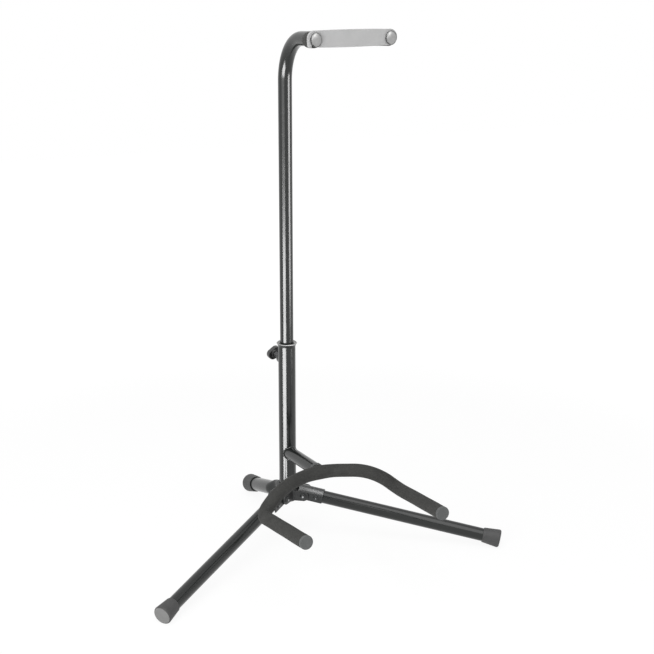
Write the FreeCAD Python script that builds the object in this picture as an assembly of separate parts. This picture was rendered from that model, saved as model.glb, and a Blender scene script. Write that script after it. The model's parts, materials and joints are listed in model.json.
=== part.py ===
import FreeCAD, Part
import math
import os

# Tubular guitar stand: a height-adjusting column on a folding tripod, with a foam-covered cradle for the
# guitar's body and a foam-covered yoke with a rubber gate for its neck.
# Lengths are millimetres and angles degrees. +Z is up and the open side of the cradle and yoke faces -Y.
# Every piece is made with the column's axis on X = Y = 0 and the floor at Z = 0, and the finished stand
# is then moved along Y as one, so that the origin lies under the middle of its footprint.

os.makedirs("parts", exist_ok=True)

# Clearances and cuts
seat_clearance = 0.05      # between pieces that are fixed to each other
running_clearance = 0.05   # radial, between a shaft and what turns or slides on it
free_clearance = 0.3       # between pieces that pass each other
overrun = 5.0              # how far a cutting tool runs past what it cuts

# Column tubes
upper_tube_diameter = 16.0
upper_tube_wall = 1.2
lower_tube_diameter = 21.0
lower_tube_wall = 1.2
column_mouth_height = 247.0
mouth_diameter = 25.0
mouth_depth = 5.0
neck_height = 617.9        # of the yoke's two tips, where the gate crosses
neck_tilt_angle = 3.4      # how much the neck and the yoke rise towards the front
neck_bend_radius = 50.0
slide_travel = 110.0

# Bush in the column's mouth and plug at the upper tube's lower end
bush_length = 14.0
bush_recess = 0.8
plug_flange_length = 8.0
plug_spigot_length = 10.0
plug_vent_diameter = 4.0

# Clamp screw, below the column's mouth
clamp_drop = 23.5
clamp_boss_diameter = 13.0
clamp_boss_reach = 8.5
clamp_screw_diameter = 8.0
clamp_screw_pitch = 1.25
clamp_root_diameter = 4.0
clamp_root_length = 4.5
clamp_screw_turns = 1.0
clamp_pad_diameter = 6.0
clamp_pad_length = 3.0
knob_front_distance = 36.0
knob_depth = 9.0
knob_wing_radius = 6.2
knob_wing_reach = 3.6
knob_collar_diameter = 11.0
knob_collar_length = 4.0
knob_rest_angle = -35.0
knob_dish_depth = 1.5
knob_rim = 1.6

# Hub
hub_diameter = 30.0
hub_top_height = 63.0
hub_depth = 22.0
hub_bottom_rounding = 7.0
hub_floor = 8.0
hub_ear_thickness = 2.5
hub_ear_radius = 6.5
hub_stop_radius = 13.5
hub_rear_ear_reach = 27.0
hub_rear_ear_thickness = 3.0
hub_rear_ear_height = 18.0
column_screw_diameter = 6.0
column_screw_length = 18.0
column_screw_head_diameter = 11.0
column_screw_head_length = 3.0
column_washer_diameter = 14.0
column_washer_thickness = 1.0
column_screw_recess = 4.2
column_socket_width = 5.0
column_socket_depth = 1.5
column_plug_length = 14.0

# Front legs
leg_spread_angle = 54.5
leg_tube_diameter = 16.0
leg_tube_wall = 1.2
leg_foot_radius = 267.0
leg_pivot_radius = 22.0
leg_pivot_drop = 11.4      # below the hub's top
leg_fold_angle = 78.0
leg_tube_start = 8.0
bracket_wall = 1.5
bracket_length = 24.0
bracket_heel = 8.0
bracket_skirt = 5.5
bracket_stop_gap = 0.1
pivot_pin_diameter = 6.0
pivot_head_diameter = 8.0
pivot_head_height = 2.2
pivot_spacer_wall = 1.5
leg_rivet_distance = 16.0
leg_rivet_diameter = 4.0
leg_rivet_head_diameter = 7.0
leg_rivet_head_height = 1.5

# Rear leg
rear_foot_radius = 129.0
rear_tube_diameter = 18.0
rear_flat_thickness = 3.0
rear_flat_height = 24.0
rear_flat_start = 11.5
rear_flat_end = 32.0
rear_round_start = 58.0
rear_rivet_distance = 20.0

# Rubber feet, a size larger on the rear leg
foot_length = 25.0
front_foot_mouth_diameter = 18.8
front_foot_end_diameter = 22.0
rear_foot_mouth_diameter = 20.6
rear_foot_end_diameter = 24.0
foot_rounding = 2.5
foot_floor = 5.0
foot_flat_depth = 0.5

# Support arm
arm_tube_diameter = 16.0
arm_tube_wall = 1.2
arm_root_height = 106.0
weld_size = 1.5
arm_collar_length = 4.0
arm_collar_thickness = 0.8
arm_saddle_depth = 2.0

# Cradle: a rod bent to an arch in the middle and two arms that point forward
cradle_rod_diameter = 8.0
cradle_foam_diameter = 15.6
cradle_middle_distance = 88.1
cradle_middle_height = 115.1
cradle_middle_radius = 60.0
cradle_crown_half_width = 59.4
cradle_crown_distance = 117.8
cradle_crown_height = 116.3
cradle_crown_radius = 67.9
cradle_side_half_width = 87.2
cradle_side_distance = 127.8
cradle_side_height = 91.7
cradle_side_radius = 13.7
cradle_tip_half_width = 82.6
cradle_tip_distance = 240.6
cradle_tip_height = 109.0
cradle_cap_thickness = 3.0
cradle_cap_grip = 1.5

# Neck yoke: a half ring of rod at the end of the upper tube
yoke_rod_diameter = 10.0
yoke_sleeve_diameter = 16.0
yoke_radius = 41.8
yoke_centre_distance = 169.5
yoke_prong_length = 1.5
yoke_saddle_depth = 2.0
stud_shank_diameter = 6.0
stud_root_diameter = 5.0
stud_root_length = 12.0
stud_head_width = 12.0
stud_head_height = 14.0
stud_head_thickness = 4.0
stud_head_rim = 1.0

# Rubber gate across the yoke
gate_thickness = 3.0
gate_end_height = 16.0
gate_end_rise = 1.0        # of the right end's middle above its stud
gate_crown = 0.5
gate_hook_radius = 9.3
gate_hook_shift = 1.0      # of the hook's round end from its stud towards the strip
gate_hook_drop = 7.4
gate_slot_width = 7.7

# Worked out from the sizes above
clamp_height = column_mouth_height - clamp_drop
hub_bottom_height = hub_top_height - hub_depth
column_foot_height = hub_bottom_height + hub_floor
leg_pivot_height = hub_top_height - leg_pivot_drop
upper_radius = upper_tube_diameter / 2
lower_radius = lower_tube_diameter / 2
lower_bore_radius = lower_radius - lower_tube_wall
upper_bore_radius = upper_radius - upper_tube_wall
leg_radius = leg_tube_diameter / 2
rear_radius = rear_tube_diameter / 2
column_plug_top = column_foot_height + column_plug_length
slide_plug_bottom = column_plug_top + free_clearance
upper_tube_bottom = slide_plug_bottom + plug_flange_length
bracket_inner_radius = leg_radius + 2 * seat_clearance
bracket_outer_radius = bracket_inner_radius + bracket_wall
hub_slot_half_width = bracket_outer_radius + free_clearance
hub_ear_half_width = hub_slot_half_width + hub_ear_thickness
yoke_back_distance = yoke_centre_distance - yoke_radius
upper_tube_reach = yoke_back_distance - yoke_rod_diameter / 2 + yoke_saddle_depth
yoke_front_distance = yoke_centre_distance + yoke_prong_length
neck_tilt = math.radians(neck_tilt_angle)
neck_corner_height = neck_height - yoke_front_distance * math.sin(neck_tilt)
gate_back_distance = yoke_front_distance + free_clearance
gate_front_distance = gate_back_distance + gate_thickness
stud_head_distance = gate_front_distance + free_clearance

x_axis = FreeCAD.Vector(1, 0, 0)
y_axis = FreeCAD.Vector(0, 1, 0)
z_axis = FreeCAD.Vector(0, 0, 1)
origin = FreeCAD.Vector(0, 0, 0)


def vec(x, y, z):
    return FreeCAD.Vector(x, y, z)


# Shapes that many pieces share

def rod(start, end, radius):
    """A solid cylinder from one point to another."""
    run = end - start
    return Part.makeCylinder(radius, run.Length, start, run)


def pipe(start, end, outer, inner):
    """A tube from one point to another, open at both ends."""
    run = end - start
    reach = run.normalize() * overrun
    return rod(start, end, outer).cut(rod(start - reach, end + reach, inner))


def centred_box(x0, x1, half_y, z0, z1):
    """A box that is centred on Y = 0."""
    return Part.makeBox(x1 - x0, 2 * half_y, z1 - z0, vec(x0, -half_y, z0))


def turned(points, axis_point, axis):
    """A solid of revolution from an outline of points and of (through, end) arcs."""
    edges = []
    at = points[0]
    for item in list(points[1:]) + [points[0]]:
        if isinstance(item, tuple):
            edges.append(Part.Arc(at, item[0], item[1]).toShape())
            at = item[1]
        elif (item - at).Length > 0:
            edges.append(Part.LineSegment(at, item).toShape())
            at = item
    return Part.Face(Part.Wire(edges)).revolve(axis_point, axis, 360)


def dome(radius, height):
    """A domed rivet head that stands on Z = 0."""
    sphere_radius = (radius ** 2 + height ** 2) / (2 * height)
    ball = Part.makeSphere(sphere_radius, vec(0, 0, height - sphere_radius))
    above = Part.makeCylinder(2 * radius, 2 * sphere_radius)
    return ball.common(above)


def rivet(shank_radius, half_grip, head_radius, head_height):
    """A rivet along Y through the origin, with a domed head at both ends."""
    shank = rod(vec(0, -half_grip, 0), vec(0, half_grip, 0), shank_radius)
    head = dome(head_radius, head_height)
    head.rotate(origin, x_axis, -90)
    head.translate(vec(0, half_grip, 0))
    other = head.mirror(origin, y_axis)
    return shank.fuse([head, other]).removeSplitter()


def arc_middle(before, corner, after, radius):
    """The point halfway along the arc that rounds a corner."""
    back = (before - corner).normalize()
    ahead = (after - corner).normalize()
    half = back.getAngle(ahead) / 2
    return corner + (back + ahead).normalize() * (radius / math.sin(half) - radius)


def bent_wire(points, radii):
    """Straight runs through the points, joined by tangent arcs of the given radii."""
    edges = []
    at = points[0]
    for before, corner, after, radius in zip(points, points[1:], points[2:], radii):
        back = (before - corner).normalize()
        ahead = (after - corner).normalize()
        tangent = radius / math.tan(back.getAngle(ahead) / 2)
        apex = arc_middle(before, corner, after, radius)
        enter = corner + back * tangent
        leave = corner + ahead * tangent
        if (enter - at).Length > seat_clearance:
            edges.append(Part.LineSegment(at, enter).toShape())
            edges.append(Part.Arc(enter, apex, leave).toShape())
        else:
            edges.append(Part.Arc(at, apex, leave).toShape())
        at = leave
    edges.append(Part.LineSegment(at, points[-1]).toShape())
    return Part.Wire(edges)


def swept(wire, start, direction, radius):
    """A round solid of one radius along a wire."""
    ring = Part.Wire([Part.Circle(start, direction, radius).toShape()])
    return wire.makePipeShell([ring], True, False)


def swept_pipe(points, radii, outer, inner):
    """A bent tube, open at both ends."""
    wire = bent_wire(points, radii)
    direction = points[1] - points[0]
    skin = swept(wire, points[0], direction, outer)
    bore = swept(wire, points[0], direction, inner)
    return skin.cut(bore)


# Feet: how the rubber caps sit on the floor sets the height of each leg's end

def foot_end_height(slope, end_diameter):
    """Height of the end face's centre of a foot whose leg falls by this angle."""
    corner = end_diameter / 2 - foot_rounding
    return (corner * math.cos(slope) + foot_rounding
            - foot_rounding * math.sin(slope) - foot_flat_depth)


def leg_line(pivot_radius, foot_radius, end_diameter):
    """Slope and length of a leg from the hub to its foot's end face."""
    slope = 0.0
    for _ in range(20):
        fall = leg_pivot_height - foot_end_height(slope, end_diameter)
        slope = math.atan2(fall, foot_radius - pivot_radius)
    return slope, math.hypot(foot_radius - pivot_radius, fall)


front_slope, front_length = leg_line(leg_pivot_radius, leg_foot_radius, front_foot_end_diameter)
rear_slope, rear_length = leg_line(0.0, rear_foot_radius, rear_foot_end_diameter)


def front_azimuth(side):
    """Direction of a front leg in plan, with side -1 for the left and 1 for the right."""
    return -90 + side * leg_spread_angle


def place_front(shape, side):
    """Move a shape from the leg's own frame, pivot at the origin and leg along +X, to the hub."""
    shape.rotate(origin, y_axis, math.degrees(front_slope))
    shape.translate(vec(leg_pivot_radius, 0, leg_pivot_height))
    shape.rotate(origin, z_axis, front_azimuth(side))
    return shape


def place_rear(shape):
    """Move a shape from the rear leg's frame, column axis at the origin and leg along +X."""
    shape.rotate(origin, y_axis, math.degrees(rear_slope))
    shape.translate(vec(0, 0, leg_pivot_height))
    shape.rotate(origin, z_axis, 90)
    return shape


def foot_cap(length, tube_radius, mouth, end):
    """A tapered rubber cap on a leg of this length, between two radii, before it is placed."""
    slant = math.atan2(end - mouth, foot_length)
    near = length - foot_rounding
    turn = math.radians(45)
    through = vec(near + foot_rounding * math.sin(turn),
                  end - foot_rounding + foot_rounding * math.cos(turn), 0)
    outline = [
        vec(length - foot_length, 0, 0),
        vec(length - foot_length, mouth, 0),
        vec(near, end, 0),
        (through, vec(length, end - foot_rounding, 0)),
        vec(length, 0, 0),
    ]
    body = turned(outline, origin, x_axis)
    bore = rod(vec(length - foot_length - overrun, 0, 0), vec(length - foot_floor, 0, 0),
               tube_radius + seat_clearance)
    return body.cut(bore)


def floor_block():
    """Everything under the floor, to cut the flat sole of each foot."""
    reach = 2 * leg_foot_radius
    depth = rear_foot_end_diameter
    return Part.makeBox(2 * reach, 2 * reach, depth, vec(-reach, -reach, -depth))


# Column

def flare_point(angle, offset):
    """A point of the trumpet mouth: the wall turns outwards about a ring outside the tube."""
    bend = mouth_bend_radius()
    radius = lower_radius + bend - (bend + offset) * math.cos(angle)
    return vec(radius, 0, column_mouth_height - mouth_depth + (bend + offset) * math.sin(angle))


def mouth_bend_radius():
    swell = (mouth_diameter - lower_tube_diameter) / 2
    return (mouth_depth ** 2 + swell ** 2) / (2 * swell)


def mouth_angle():
    return math.asin(mouth_depth / mouth_bend_radius())


def make_lower_tube():
    full = mouth_angle()
    half = full / 2
    wall = lower_tube_wall
    outline = [
        vec(lower_bore_radius, 0, column_foot_height),
        vec(lower_radius, 0, column_foot_height),
        flare_point(0, 0),
        (flare_point(half, 0), flare_point(full, 0)),
        flare_point(full, wall),
        (flare_point(half, wall), flare_point(0, wall)),
    ]
    tube = turned(outline, origin, z_axis)
    window = rod(vec(0, 0, clamp_height), vec(0, lower_tube_diameter, clamp_height),
                 clamp_screw_diameter / 2 + free_clearance)
    return tube.cut(window)


def make_mouth_bush():
    full = mouth_angle()
    half = full / 2
    offset = lower_tube_wall + running_clearance
    top = flare_point(full, offset).z - bush_recess
    bore = upper_radius + running_clearance
    base = column_mouth_height - mouth_depth - bush_length
    rim_angle = math.asin((top - column_mouth_height + mouth_depth) / (mouth_bend_radius() + offset))
    outline = [
        vec(bore, 0, base),
        vec(lower_bore_radius - running_clearance, 0, base),
        flare_point(0, offset),
        (flare_point(rim_angle / 2, offset), flare_point(rim_angle, offset)),
        vec(bore, 0, top),
    ]
    return turned(outline, origin, z_axis)


def make_upper_tube():
    corner = vec(0, 0, neck_corner_height)
    end = corner + vec(0, -math.cos(neck_tilt), math.sin(neck_tilt)) * upper_tube_reach
    tube = swept_pipe([vec(0, 0, upper_tube_bottom), corner, end], [neck_bend_radius],
                      upper_radius, upper_bore_radius)
    return tube.cut(tilted(yoke_core(yoke_rod_diameter / 2 + seat_clearance)))


def make_slide_plug():
    flange = pipe(vec(0, 0, slide_plug_bottom), vec(0, 0, upper_tube_bottom),
                  lower_bore_radius - running_clearance, plug_vent_diameter / 2)
    spigot = pipe(vec(0, 0, upper_tube_bottom), vec(0, 0, upper_tube_bottom + plug_spigot_length),
                  upper_bore_radius - seat_clearance, plug_vent_diameter / 2)
    return flange.fuse(spigot).removeSplitter()


def make_column_plug():
    return pipe(vec(0, 0, column_foot_height), vec(0, 0, column_plug_top),
                lower_bore_radius - seat_clearance, column_screw_diameter / 2 + seat_clearance)


def column_seat_height():
    """Height of the face that the washer under the hub bears on."""
    return hub_bottom_height + column_screw_recess


def make_column_washer():
    top = column_seat_height()
    return pipe(vec(0, 0, top - column_washer_thickness), vec(0, 0, top),
                column_washer_diameter / 2, column_screw_diameter / 2 + free_clearance)


def make_column_screw():
    under = column_seat_height() - column_washer_thickness
    shank = rod(vec(0, 0, under), vec(0, 0, under + column_screw_length), column_screw_diameter / 2)
    head = rod(vec(0, 0, under - column_screw_head_length), vec(0, 0, under),
               column_screw_head_diameter / 2)
    across = column_socket_width / 2
    socket = Part.makeBox(column_socket_width, column_socket_width, column_socket_depth,
                          vec(-across, -across, under - column_screw_head_length))
    return head.cut(socket).fuse(shank).removeSplitter()


# Clamp

def make_clamp_boss():
    start = vec(0, 0, clamp_height)
    end = vec(0, lower_radius + clamp_boss_reach, clamp_height)
    boss = pipe(start, end, clamp_boss_diameter / 2, clamp_screw_diameter / 2 + running_clearance)
    return boss.cut(Part.makeCylinder(lower_radius + seat_clearance, column_mouth_height))


def pad_front():
    """Y of the pad's face, just off the upper tube."""
    return upper_radius + seat_clearance


def screw_front():
    return pad_front() + clamp_pad_length + seat_clearance


def make_clamp_pad():
    return rod(vec(0, pad_front(), clamp_height), vec(0, pad_front() + clamp_pad_length, clamp_height),
               clamp_pad_diameter / 2)


def make_clamp_screw():
    tip = rod(vec(0, screw_front(), clamp_height), vec(0, knob_front_distance, clamp_height),
              clamp_screw_diameter / 2)
    root = rod(vec(0, knob_front_distance, clamp_height),
               vec(0, knob_front_distance + clamp_root_length, clamp_height), clamp_root_diameter / 2)
    return tip.fuse(root).removeSplitter()


def wing_slab(radius, y0, y1):
    """A stadium-shaped slab between two distances behind the column, wings along X."""
    ends = [rod(vec(side * knob_wing_reach, y0, 0), vec(side * knob_wing_reach, y1, 0), radius)
            for side in (-1, 1)]
    web = Part.makeBox(2 * knob_wing_reach, y1 - y0, 2 * radius, vec(-knob_wing_reach, y0, -radius))
    return web.fuse(ends).removeSplitter()


def make_wing_knob():
    back = knob_front_distance + knob_depth
    body = wing_slab(knob_wing_radius, knob_front_distance, back)
    dish = wing_slab(knob_wing_radius - knob_rim, knob_front_distance - overrun,
                     knob_front_distance + knob_dish_depth)
    collar = rod(vec(0, knob_front_distance - knob_collar_length, 0), vec(0, back, 0),
                 knob_collar_diameter / 2)
    socket = rod(vec(0, knob_front_distance - knob_collar_length - overrun, 0),
                 vec(0, knob_front_distance, 0), clamp_screw_diameter / 2 + seat_clearance)
    root = rod(vec(0, knob_front_distance - overrun, 0),
               vec(0, knob_front_distance + clamp_root_length + seat_clearance, 0),
               clamp_root_diameter / 2 + seat_clearance)
    knob = body.cut(dish).fuse(collar).removeSplitter().cut(socket).cut(root)
    knob.rotate(origin, y_axis, knob_rest_angle)
    knob.translate(vec(0, 0, clamp_height))
    return knob


# Hub

def hub_bowl():
    """The round middle of the hub, with a rounded lower edge."""
    radius = hub_diameter / 2
    turn = math.radians(45)
    middle = vec(radius - hub_bottom_rounding * (1 - math.sin(turn)), 0,
                 hub_bottom_height + hub_bottom_rounding * (1 - math.cos(turn)))
    outline = [
        vec(0, 0, hub_bottom_height),
        vec(radius - hub_bottom_rounding, 0, hub_bottom_height),
        (middle, vec(radius, 0, hub_bottom_height + hub_bottom_rounding)),
        vec(radius, 0, hub_top_height),
        vec(0, 0, hub_top_height),
    ]
    return turned(outline, origin, z_axis)


def front_ears(side):
    """The block that the two ears of a front leg are cut from."""
    low = leg_pivot_height - hub_ear_radius
    high = leg_pivot_height + hub_ear_radius
    block = centred_box(0, leg_pivot_radius, hub_ear_half_width, low, high)
    end = rod(vec(leg_pivot_radius, -hub_ear_half_width, leg_pivot_height),
              vec(leg_pivot_radius, hub_ear_half_width, leg_pivot_height), hub_ear_radius)
    ears = block.fuse(end)
    ears.rotate(origin, z_axis, front_azimuth(side))
    return ears


def front_slot(side):
    """The slot between the ears, open above, below and outwards, and the pivot's hole."""
    far = leg_pivot_radius + hub_ear_radius + overrun
    slot = centred_box(hub_stop_radius, far, hub_slot_half_width,
                       hub_bottom_height - overrun, hub_top_height + overrun)
    hole = rod(vec(leg_pivot_radius, -hub_ear_half_width - overrun, leg_pivot_height),
               vec(leg_pivot_radius, hub_ear_half_width + overrun, leg_pivot_height),
               pivot_pin_diameter / 2 + seat_clearance)
    cut = slot.fuse(hole)
    cut.rotate(origin, z_axis, front_azimuth(side))
    return cut


def rear_ears():
    half = rear_flat_thickness / 2 + seat_clearance + hub_rear_ear_thickness
    block = centred_box(0, hub_rear_ear_reach, half, -hub_rear_ear_height / 2, hub_rear_ear_height / 2)
    return place_rear(block)


def rear_slot():
    half = rear_flat_thickness / 2 + seat_clearance
    tall = rear_flat_height / 2 + free_clearance
    slot = centred_box(rear_flat_start - free_clearance, hub_rear_ear_reach + overrun, half, -tall, tall)
    hole = rod(vec(rear_rivet_distance, -hub_diameter, 0), vec(rear_rivet_distance, hub_diameter, 0),
               leg_rivet_diameter / 2 + seat_clearance)
    return place_rear(slot.fuse(hole))


def make_hub():
    hub = hub_bowl().fuse([front_ears(-1), front_ears(1), rear_ears()]).removeSplitter()
    socket = rod(vec(0, 0, column_foot_height), vec(0, 0, hub_top_height + overrun),
                 lower_radius + seat_clearance)
    recess = rod(vec(0, 0, hub_bottom_height - overrun), vec(0, 0, column_seat_height()),
                 column_washer_diameter / 2 + seat_clearance)
    screw_hole = rod(vec(0, 0, hub_bottom_height), vec(0, 0, column_foot_height + overrun),
                     column_screw_diameter / 2 + seat_clearance)
    hub = hub.cut(socket).cut(recess).cut(screw_hole)
    return hub.cut(front_slot(-1)).cut(front_slot(1)).cut(rear_slot())


# Front legs

def bracket_section(radius, skirt):
    """Section of the inverted U, across the leg: a half round top on straight sides."""
    left = vec(0, -radius, 0)
    right = vec(0, radius, 0)
    edges = [
        Part.Arc(left, vec(0, 0, radius), right).toShape(),
        Part.LineSegment(right, vec(0, radius, -skirt)).toShape(),
        Part.LineSegment(vec(0, radius, -skirt), vec(0, -radius, -skirt)).toShape(),
        Part.LineSegment(vec(0, -radius, -skirt), left).toShape(),
    ]
    return Part.Face(Part.Wire(edges))


def make_leg_bracket(side):
    start = -bracket_heel - overrun
    reach = bracket_length - start
    outer = bracket_section(bracket_outer_radius, bracket_skirt).extrude(vec(reach, 0, 0))
    inner = bracket_section(bracket_inner_radius, bracket_skirt + overrun).extrude(vec(reach, 0, 0))
    outer.translate(vec(start, 0, 0))
    inner.translate(vec(start, 0, 0))
    channel = outer.cut(inner)
    # The heel is square above the pivot, where it bears on the hub, and round below it.
    wall = bracket_outer_radius + overrun
    round_heel = rod(vec(0, -wall, 0), vec(0, wall, 0), bracket_heel)
    below = Part.makeBox(2 * wall, 2 * wall, wall, vec(-2 * wall, -wall, -wall))
    channel = channel.cut(below.cut(round_heel))
    for distance, radius in ((0, pivot_pin_diameter / 2 + running_clearance),
                             (leg_rivet_distance, leg_rivet_diameter / 2 + seat_clearance)):
        channel = channel.cut(rod(vec(distance, -wall, 0), vec(distance, wall, 0), radius))
    bracket = place_front(channel, side)
    stop = centred_box(-hub_diameter, hub_stop_radius + bracket_stop_gap, hub_ear_half_width,
                       hub_bottom_height - overrun, hub_top_height + overrun)
    stop.rotate(origin, z_axis, front_azimuth(side))
    return bracket.cut(stop)


def make_leg_tube(side):
    tube = pipe(vec(leg_tube_start, 0, 0), vec(front_length - foot_floor, 0, 0),
                leg_radius, leg_radius - leg_tube_wall)
    hole = rod(vec(leg_rivet_distance, -leg_tube_diameter, 0), vec(leg_rivet_distance, leg_tube_diameter, 0),
               leg_rivet_diameter / 2 + seat_clearance)
    return place_front(tube.cut(hole), side)


def make_leg_rivet(side):
    fastener = rivet(leg_rivet_diameter / 2, bracket_outer_radius + seat_clearance,
                     leg_rivet_head_diameter / 2, leg_rivet_head_height)
    fastener.translate(vec(leg_rivet_distance, 0, 0))
    return place_front(fastener, side)


def make_pivot_rivet(side):
    return place_front(rivet(pivot_pin_diameter / 2, hub_ear_half_width + seat_clearance,
                             pivot_head_diameter / 2, pivot_head_height), side)


def make_pivot_spacer(side):
    inner = pivot_pin_diameter / 2 + running_clearance
    outer = inner + pivot_spacer_wall
    half = math.sqrt(bracket_inner_radius ** 2 - outer ** 2) - seat_clearance
    return place_front(pipe(vec(0, -half, 0), vec(0, half, 0), outer, inner), side)


def make_front_foot(side):
    cap = foot_cap(front_length, leg_radius, front_foot_mouth_diameter / 2, front_foot_end_diameter / 2)
    return place_front(cap, side).cut(floor_block())


# Rear leg

def flat_section(x, half_thickness, half_height):
    """A thin upright section with rounded ends, as four edges."""
    rise = half_height - half_thickness
    t = half_thickness
    edges = [
        Part.Arc(vec(x, t, rise), vec(x, 0, half_height), vec(x, -t, rise)).toShape(),
        Part.LineSegment(vec(x, -t, rise), vec(x, -t, -rise)).toShape(),
        Part.Arc(vec(x, -t, -rise), vec(x, 0, -half_height), vec(x, t, -rise)).toShape(),
        Part.LineSegment(vec(x, t, -rise), vec(x, t, rise)).toShape(),
    ]
    return Part.Wire(edges)


def round_section(x, radius):
    """A circle as four arcs that match the edges of the thin section."""
    turn = math.radians(60)
    y = radius * math.cos(turn)
    z = radius * math.sin(turn)
    edges = [
        Part.Arc(vec(x, y, z), vec(x, 0, radius), vec(x, -y, z)).toShape(),
        Part.Arc(vec(x, -y, z), vec(x, -radius, 0), vec(x, -y, -z)).toShape(),
        Part.Arc(vec(x, -y, -z), vec(x, 0, -radius), vec(x, y, -z)).toShape(),
        Part.Arc(vec(x, y, -z), vec(x, radius, 0), vec(x, y, z)).toShape(),
    ]
    return Part.Wire(edges)


def make_rear_leg():
    half_thick = rear_flat_thickness / 2
    half_tall = rear_flat_height / 2
    flat = Part.Face(flat_section(rear_flat_start, half_thick, half_tall))
    flat = flat.extrude(vec(rear_flat_end - rear_flat_start, 0, 0))
    taper = Part.makeLoft([flat_section(rear_flat_end, half_thick, half_tall),
                           round_section(rear_round_start, rear_radius)], True, True)
    tube = rod(vec(rear_round_start, 0, 0), vec(rear_length - foot_floor, 0, 0), rear_radius)
    leg = flat.fuse([taper, tube]).removeSplitter()
    bore = rod(vec(rear_round_start, 0, 0), vec(rear_length, 0, 0), rear_radius - leg_tube_wall)
    hole = rod(vec(rear_rivet_distance, -rear_tube_diameter, 0),
               vec(rear_rivet_distance, rear_tube_diameter, 0), leg_rivet_diameter / 2 + seat_clearance)
    return place_rear(leg.cut(bore).cut(hole))


def make_rear_rivet():
    grip = rear_flat_thickness / 2 + seat_clearance + hub_rear_ear_thickness + seat_clearance
    fastener = rivet(leg_rivet_diameter / 2, grip, leg_rivet_head_diameter / 2, leg_rivet_head_height)
    fastener.translate(vec(rear_rivet_distance, 0, 0))
    return place_rear(fastener)


def make_rear_foot():
    cap = foot_cap(rear_length, rear_radius, rear_foot_mouth_diameter / 2, rear_foot_end_diameter / 2)
    return place_rear(cap).cut(floor_block())


# Cradle

def cradle_points(trim):
    """The cradle rod's corners from the left tip to the right, with each tip drawn back by trim."""
    middle = vec(0, -cradle_middle_distance, cradle_middle_height)
    crown = vec(cradle_crown_half_width, -cradle_crown_distance, cradle_crown_height)
    side = vec(cradle_side_half_width, -cradle_side_distance, cradle_side_height)
    tip = vec(cradle_tip_half_width, -cradle_tip_distance, cradle_tip_height)
    tip = tip + (side - tip).normalize() * trim
    right = [crown, side, tip]
    left = [vec(-p.x, p.y, p.z) for p in reversed(right)]
    return left + [middle] + right


cradle_radii = [cradle_side_radius, cradle_crown_radius, cradle_middle_radius,
                cradle_crown_radius, cradle_side_radius]


def cradle_solid(radius, trim):
    points = cradle_points(trim)
    return swept(bent_wire(points, cradle_radii), points[0], points[1] - points[0], radius)


def crown_centre():
    """The middle of the arch, where the support arm meets the rod."""
    corners = cradle_points(0)
    half = len(corners) // 2
    return arc_middle(*corners[half - 1:half + 2], cradle_middle_radius)


def arm_line(start, end):
    """Two points on the support arm's axis, measured from the column's axis."""
    root = vec(0, 0, arm_root_height)
    along = (crown_centre() - root).normalize()
    return root + along * start, root + along * end


def arm_length():
    return (crown_centre() - vec(0, 0, arm_root_height)).Length


def arm_reach():
    """How far the arm's tube runs: its end is a saddle on the back of the cradle's rod."""
    return arm_length() - cradle_rod_diameter / 2 + arm_saddle_depth


def make_support_arm():
    tube = pipe(*arm_line(0, arm_reach()), arm_tube_diameter / 2, arm_tube_diameter / 2 - arm_tube_wall)
    column = Part.makeCylinder(lower_radius + seat_clearance, column_mouth_height)
    return tube.cut(column).cut(cradle_solid(cradle_rod_diameter / 2 + seat_clearance, 0))


def make_arm_root_weld():
    """The bead where the arm meets the column."""
    bead = rod(*arm_line(0, lower_tube_diameter), arm_tube_diameter / 2 + weld_size)
    skin = Part.makeCylinder(lower_radius + weld_size, column_mouth_height)
    arm = rod(*arm_line(0, arm_length()), arm_tube_diameter / 2 + seat_clearance)
    column = Part.makeCylinder(lower_radius + seat_clearance, column_mouth_height)
    return bead.common(skin).cut(arm).cut(column)


def make_arm_collar():
    """The ring of weld and crimped tube just behind the foam."""
    end = arm_length() - cradle_foam_diameter / 2 + free_clearance
    return pipe(*arm_line(end - arm_collar_length, end),
                arm_tube_diameter / 2 + arm_collar_thickness, arm_tube_diameter / 2 + seat_clearance)


def make_cradle_rod():
    return cradle_solid(cradle_rod_diameter / 2, cradle_cap_thickness - cradle_cap_grip)


def make_cradle_foam():
    foam = cradle_solid(cradle_foam_diameter / 2, cradle_cap_thickness + seat_clearance)
    bore = cradle_solid(cradle_rod_diameter / 2 + seat_clearance, 0)
    wide = arm_tube_diameter / 2 + free_clearance
    notch = rod(*arm_line(0, arm_reach() + free_clearance), wide)
    collar_end = arm_length() - cradle_foam_diameter / 2 + 2 * free_clearance
    relief = rod(*arm_line(0, collar_end), arm_tube_diameter / 2 + arm_collar_thickness + free_clearance)
    return foam.cut(bore).cut(notch).cut(relief)


def make_cradle_cap(side):
    points = cradle_points(0)
    tip = points[-1] if side > 0 else points[0]
    inner = points[-2] if side > 0 else points[1]
    back = (inner - tip).normalize()
    disc = rod(tip + back * cradle_cap_thickness, tip, cradle_foam_diameter / 2)
    grip = rod(tip + back * (cradle_cap_thickness + overrun),
               tip + back * (cradle_cap_thickness - cradle_cap_grip - seat_clearance),
               cradle_rod_diameter / 2 + seat_clearance)
    return disc.cut(grip)


# Neck yoke: its pieces are made level with the corner of the upper tube's bend, and then tilted

def tilted(shape):
    """Tilt a level piece of the yoke, or of its gate, up towards the front."""
    shape.rotate(vec(0, 0, neck_corner_height), x_axis, -neck_tilt_angle)
    return shape


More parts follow.
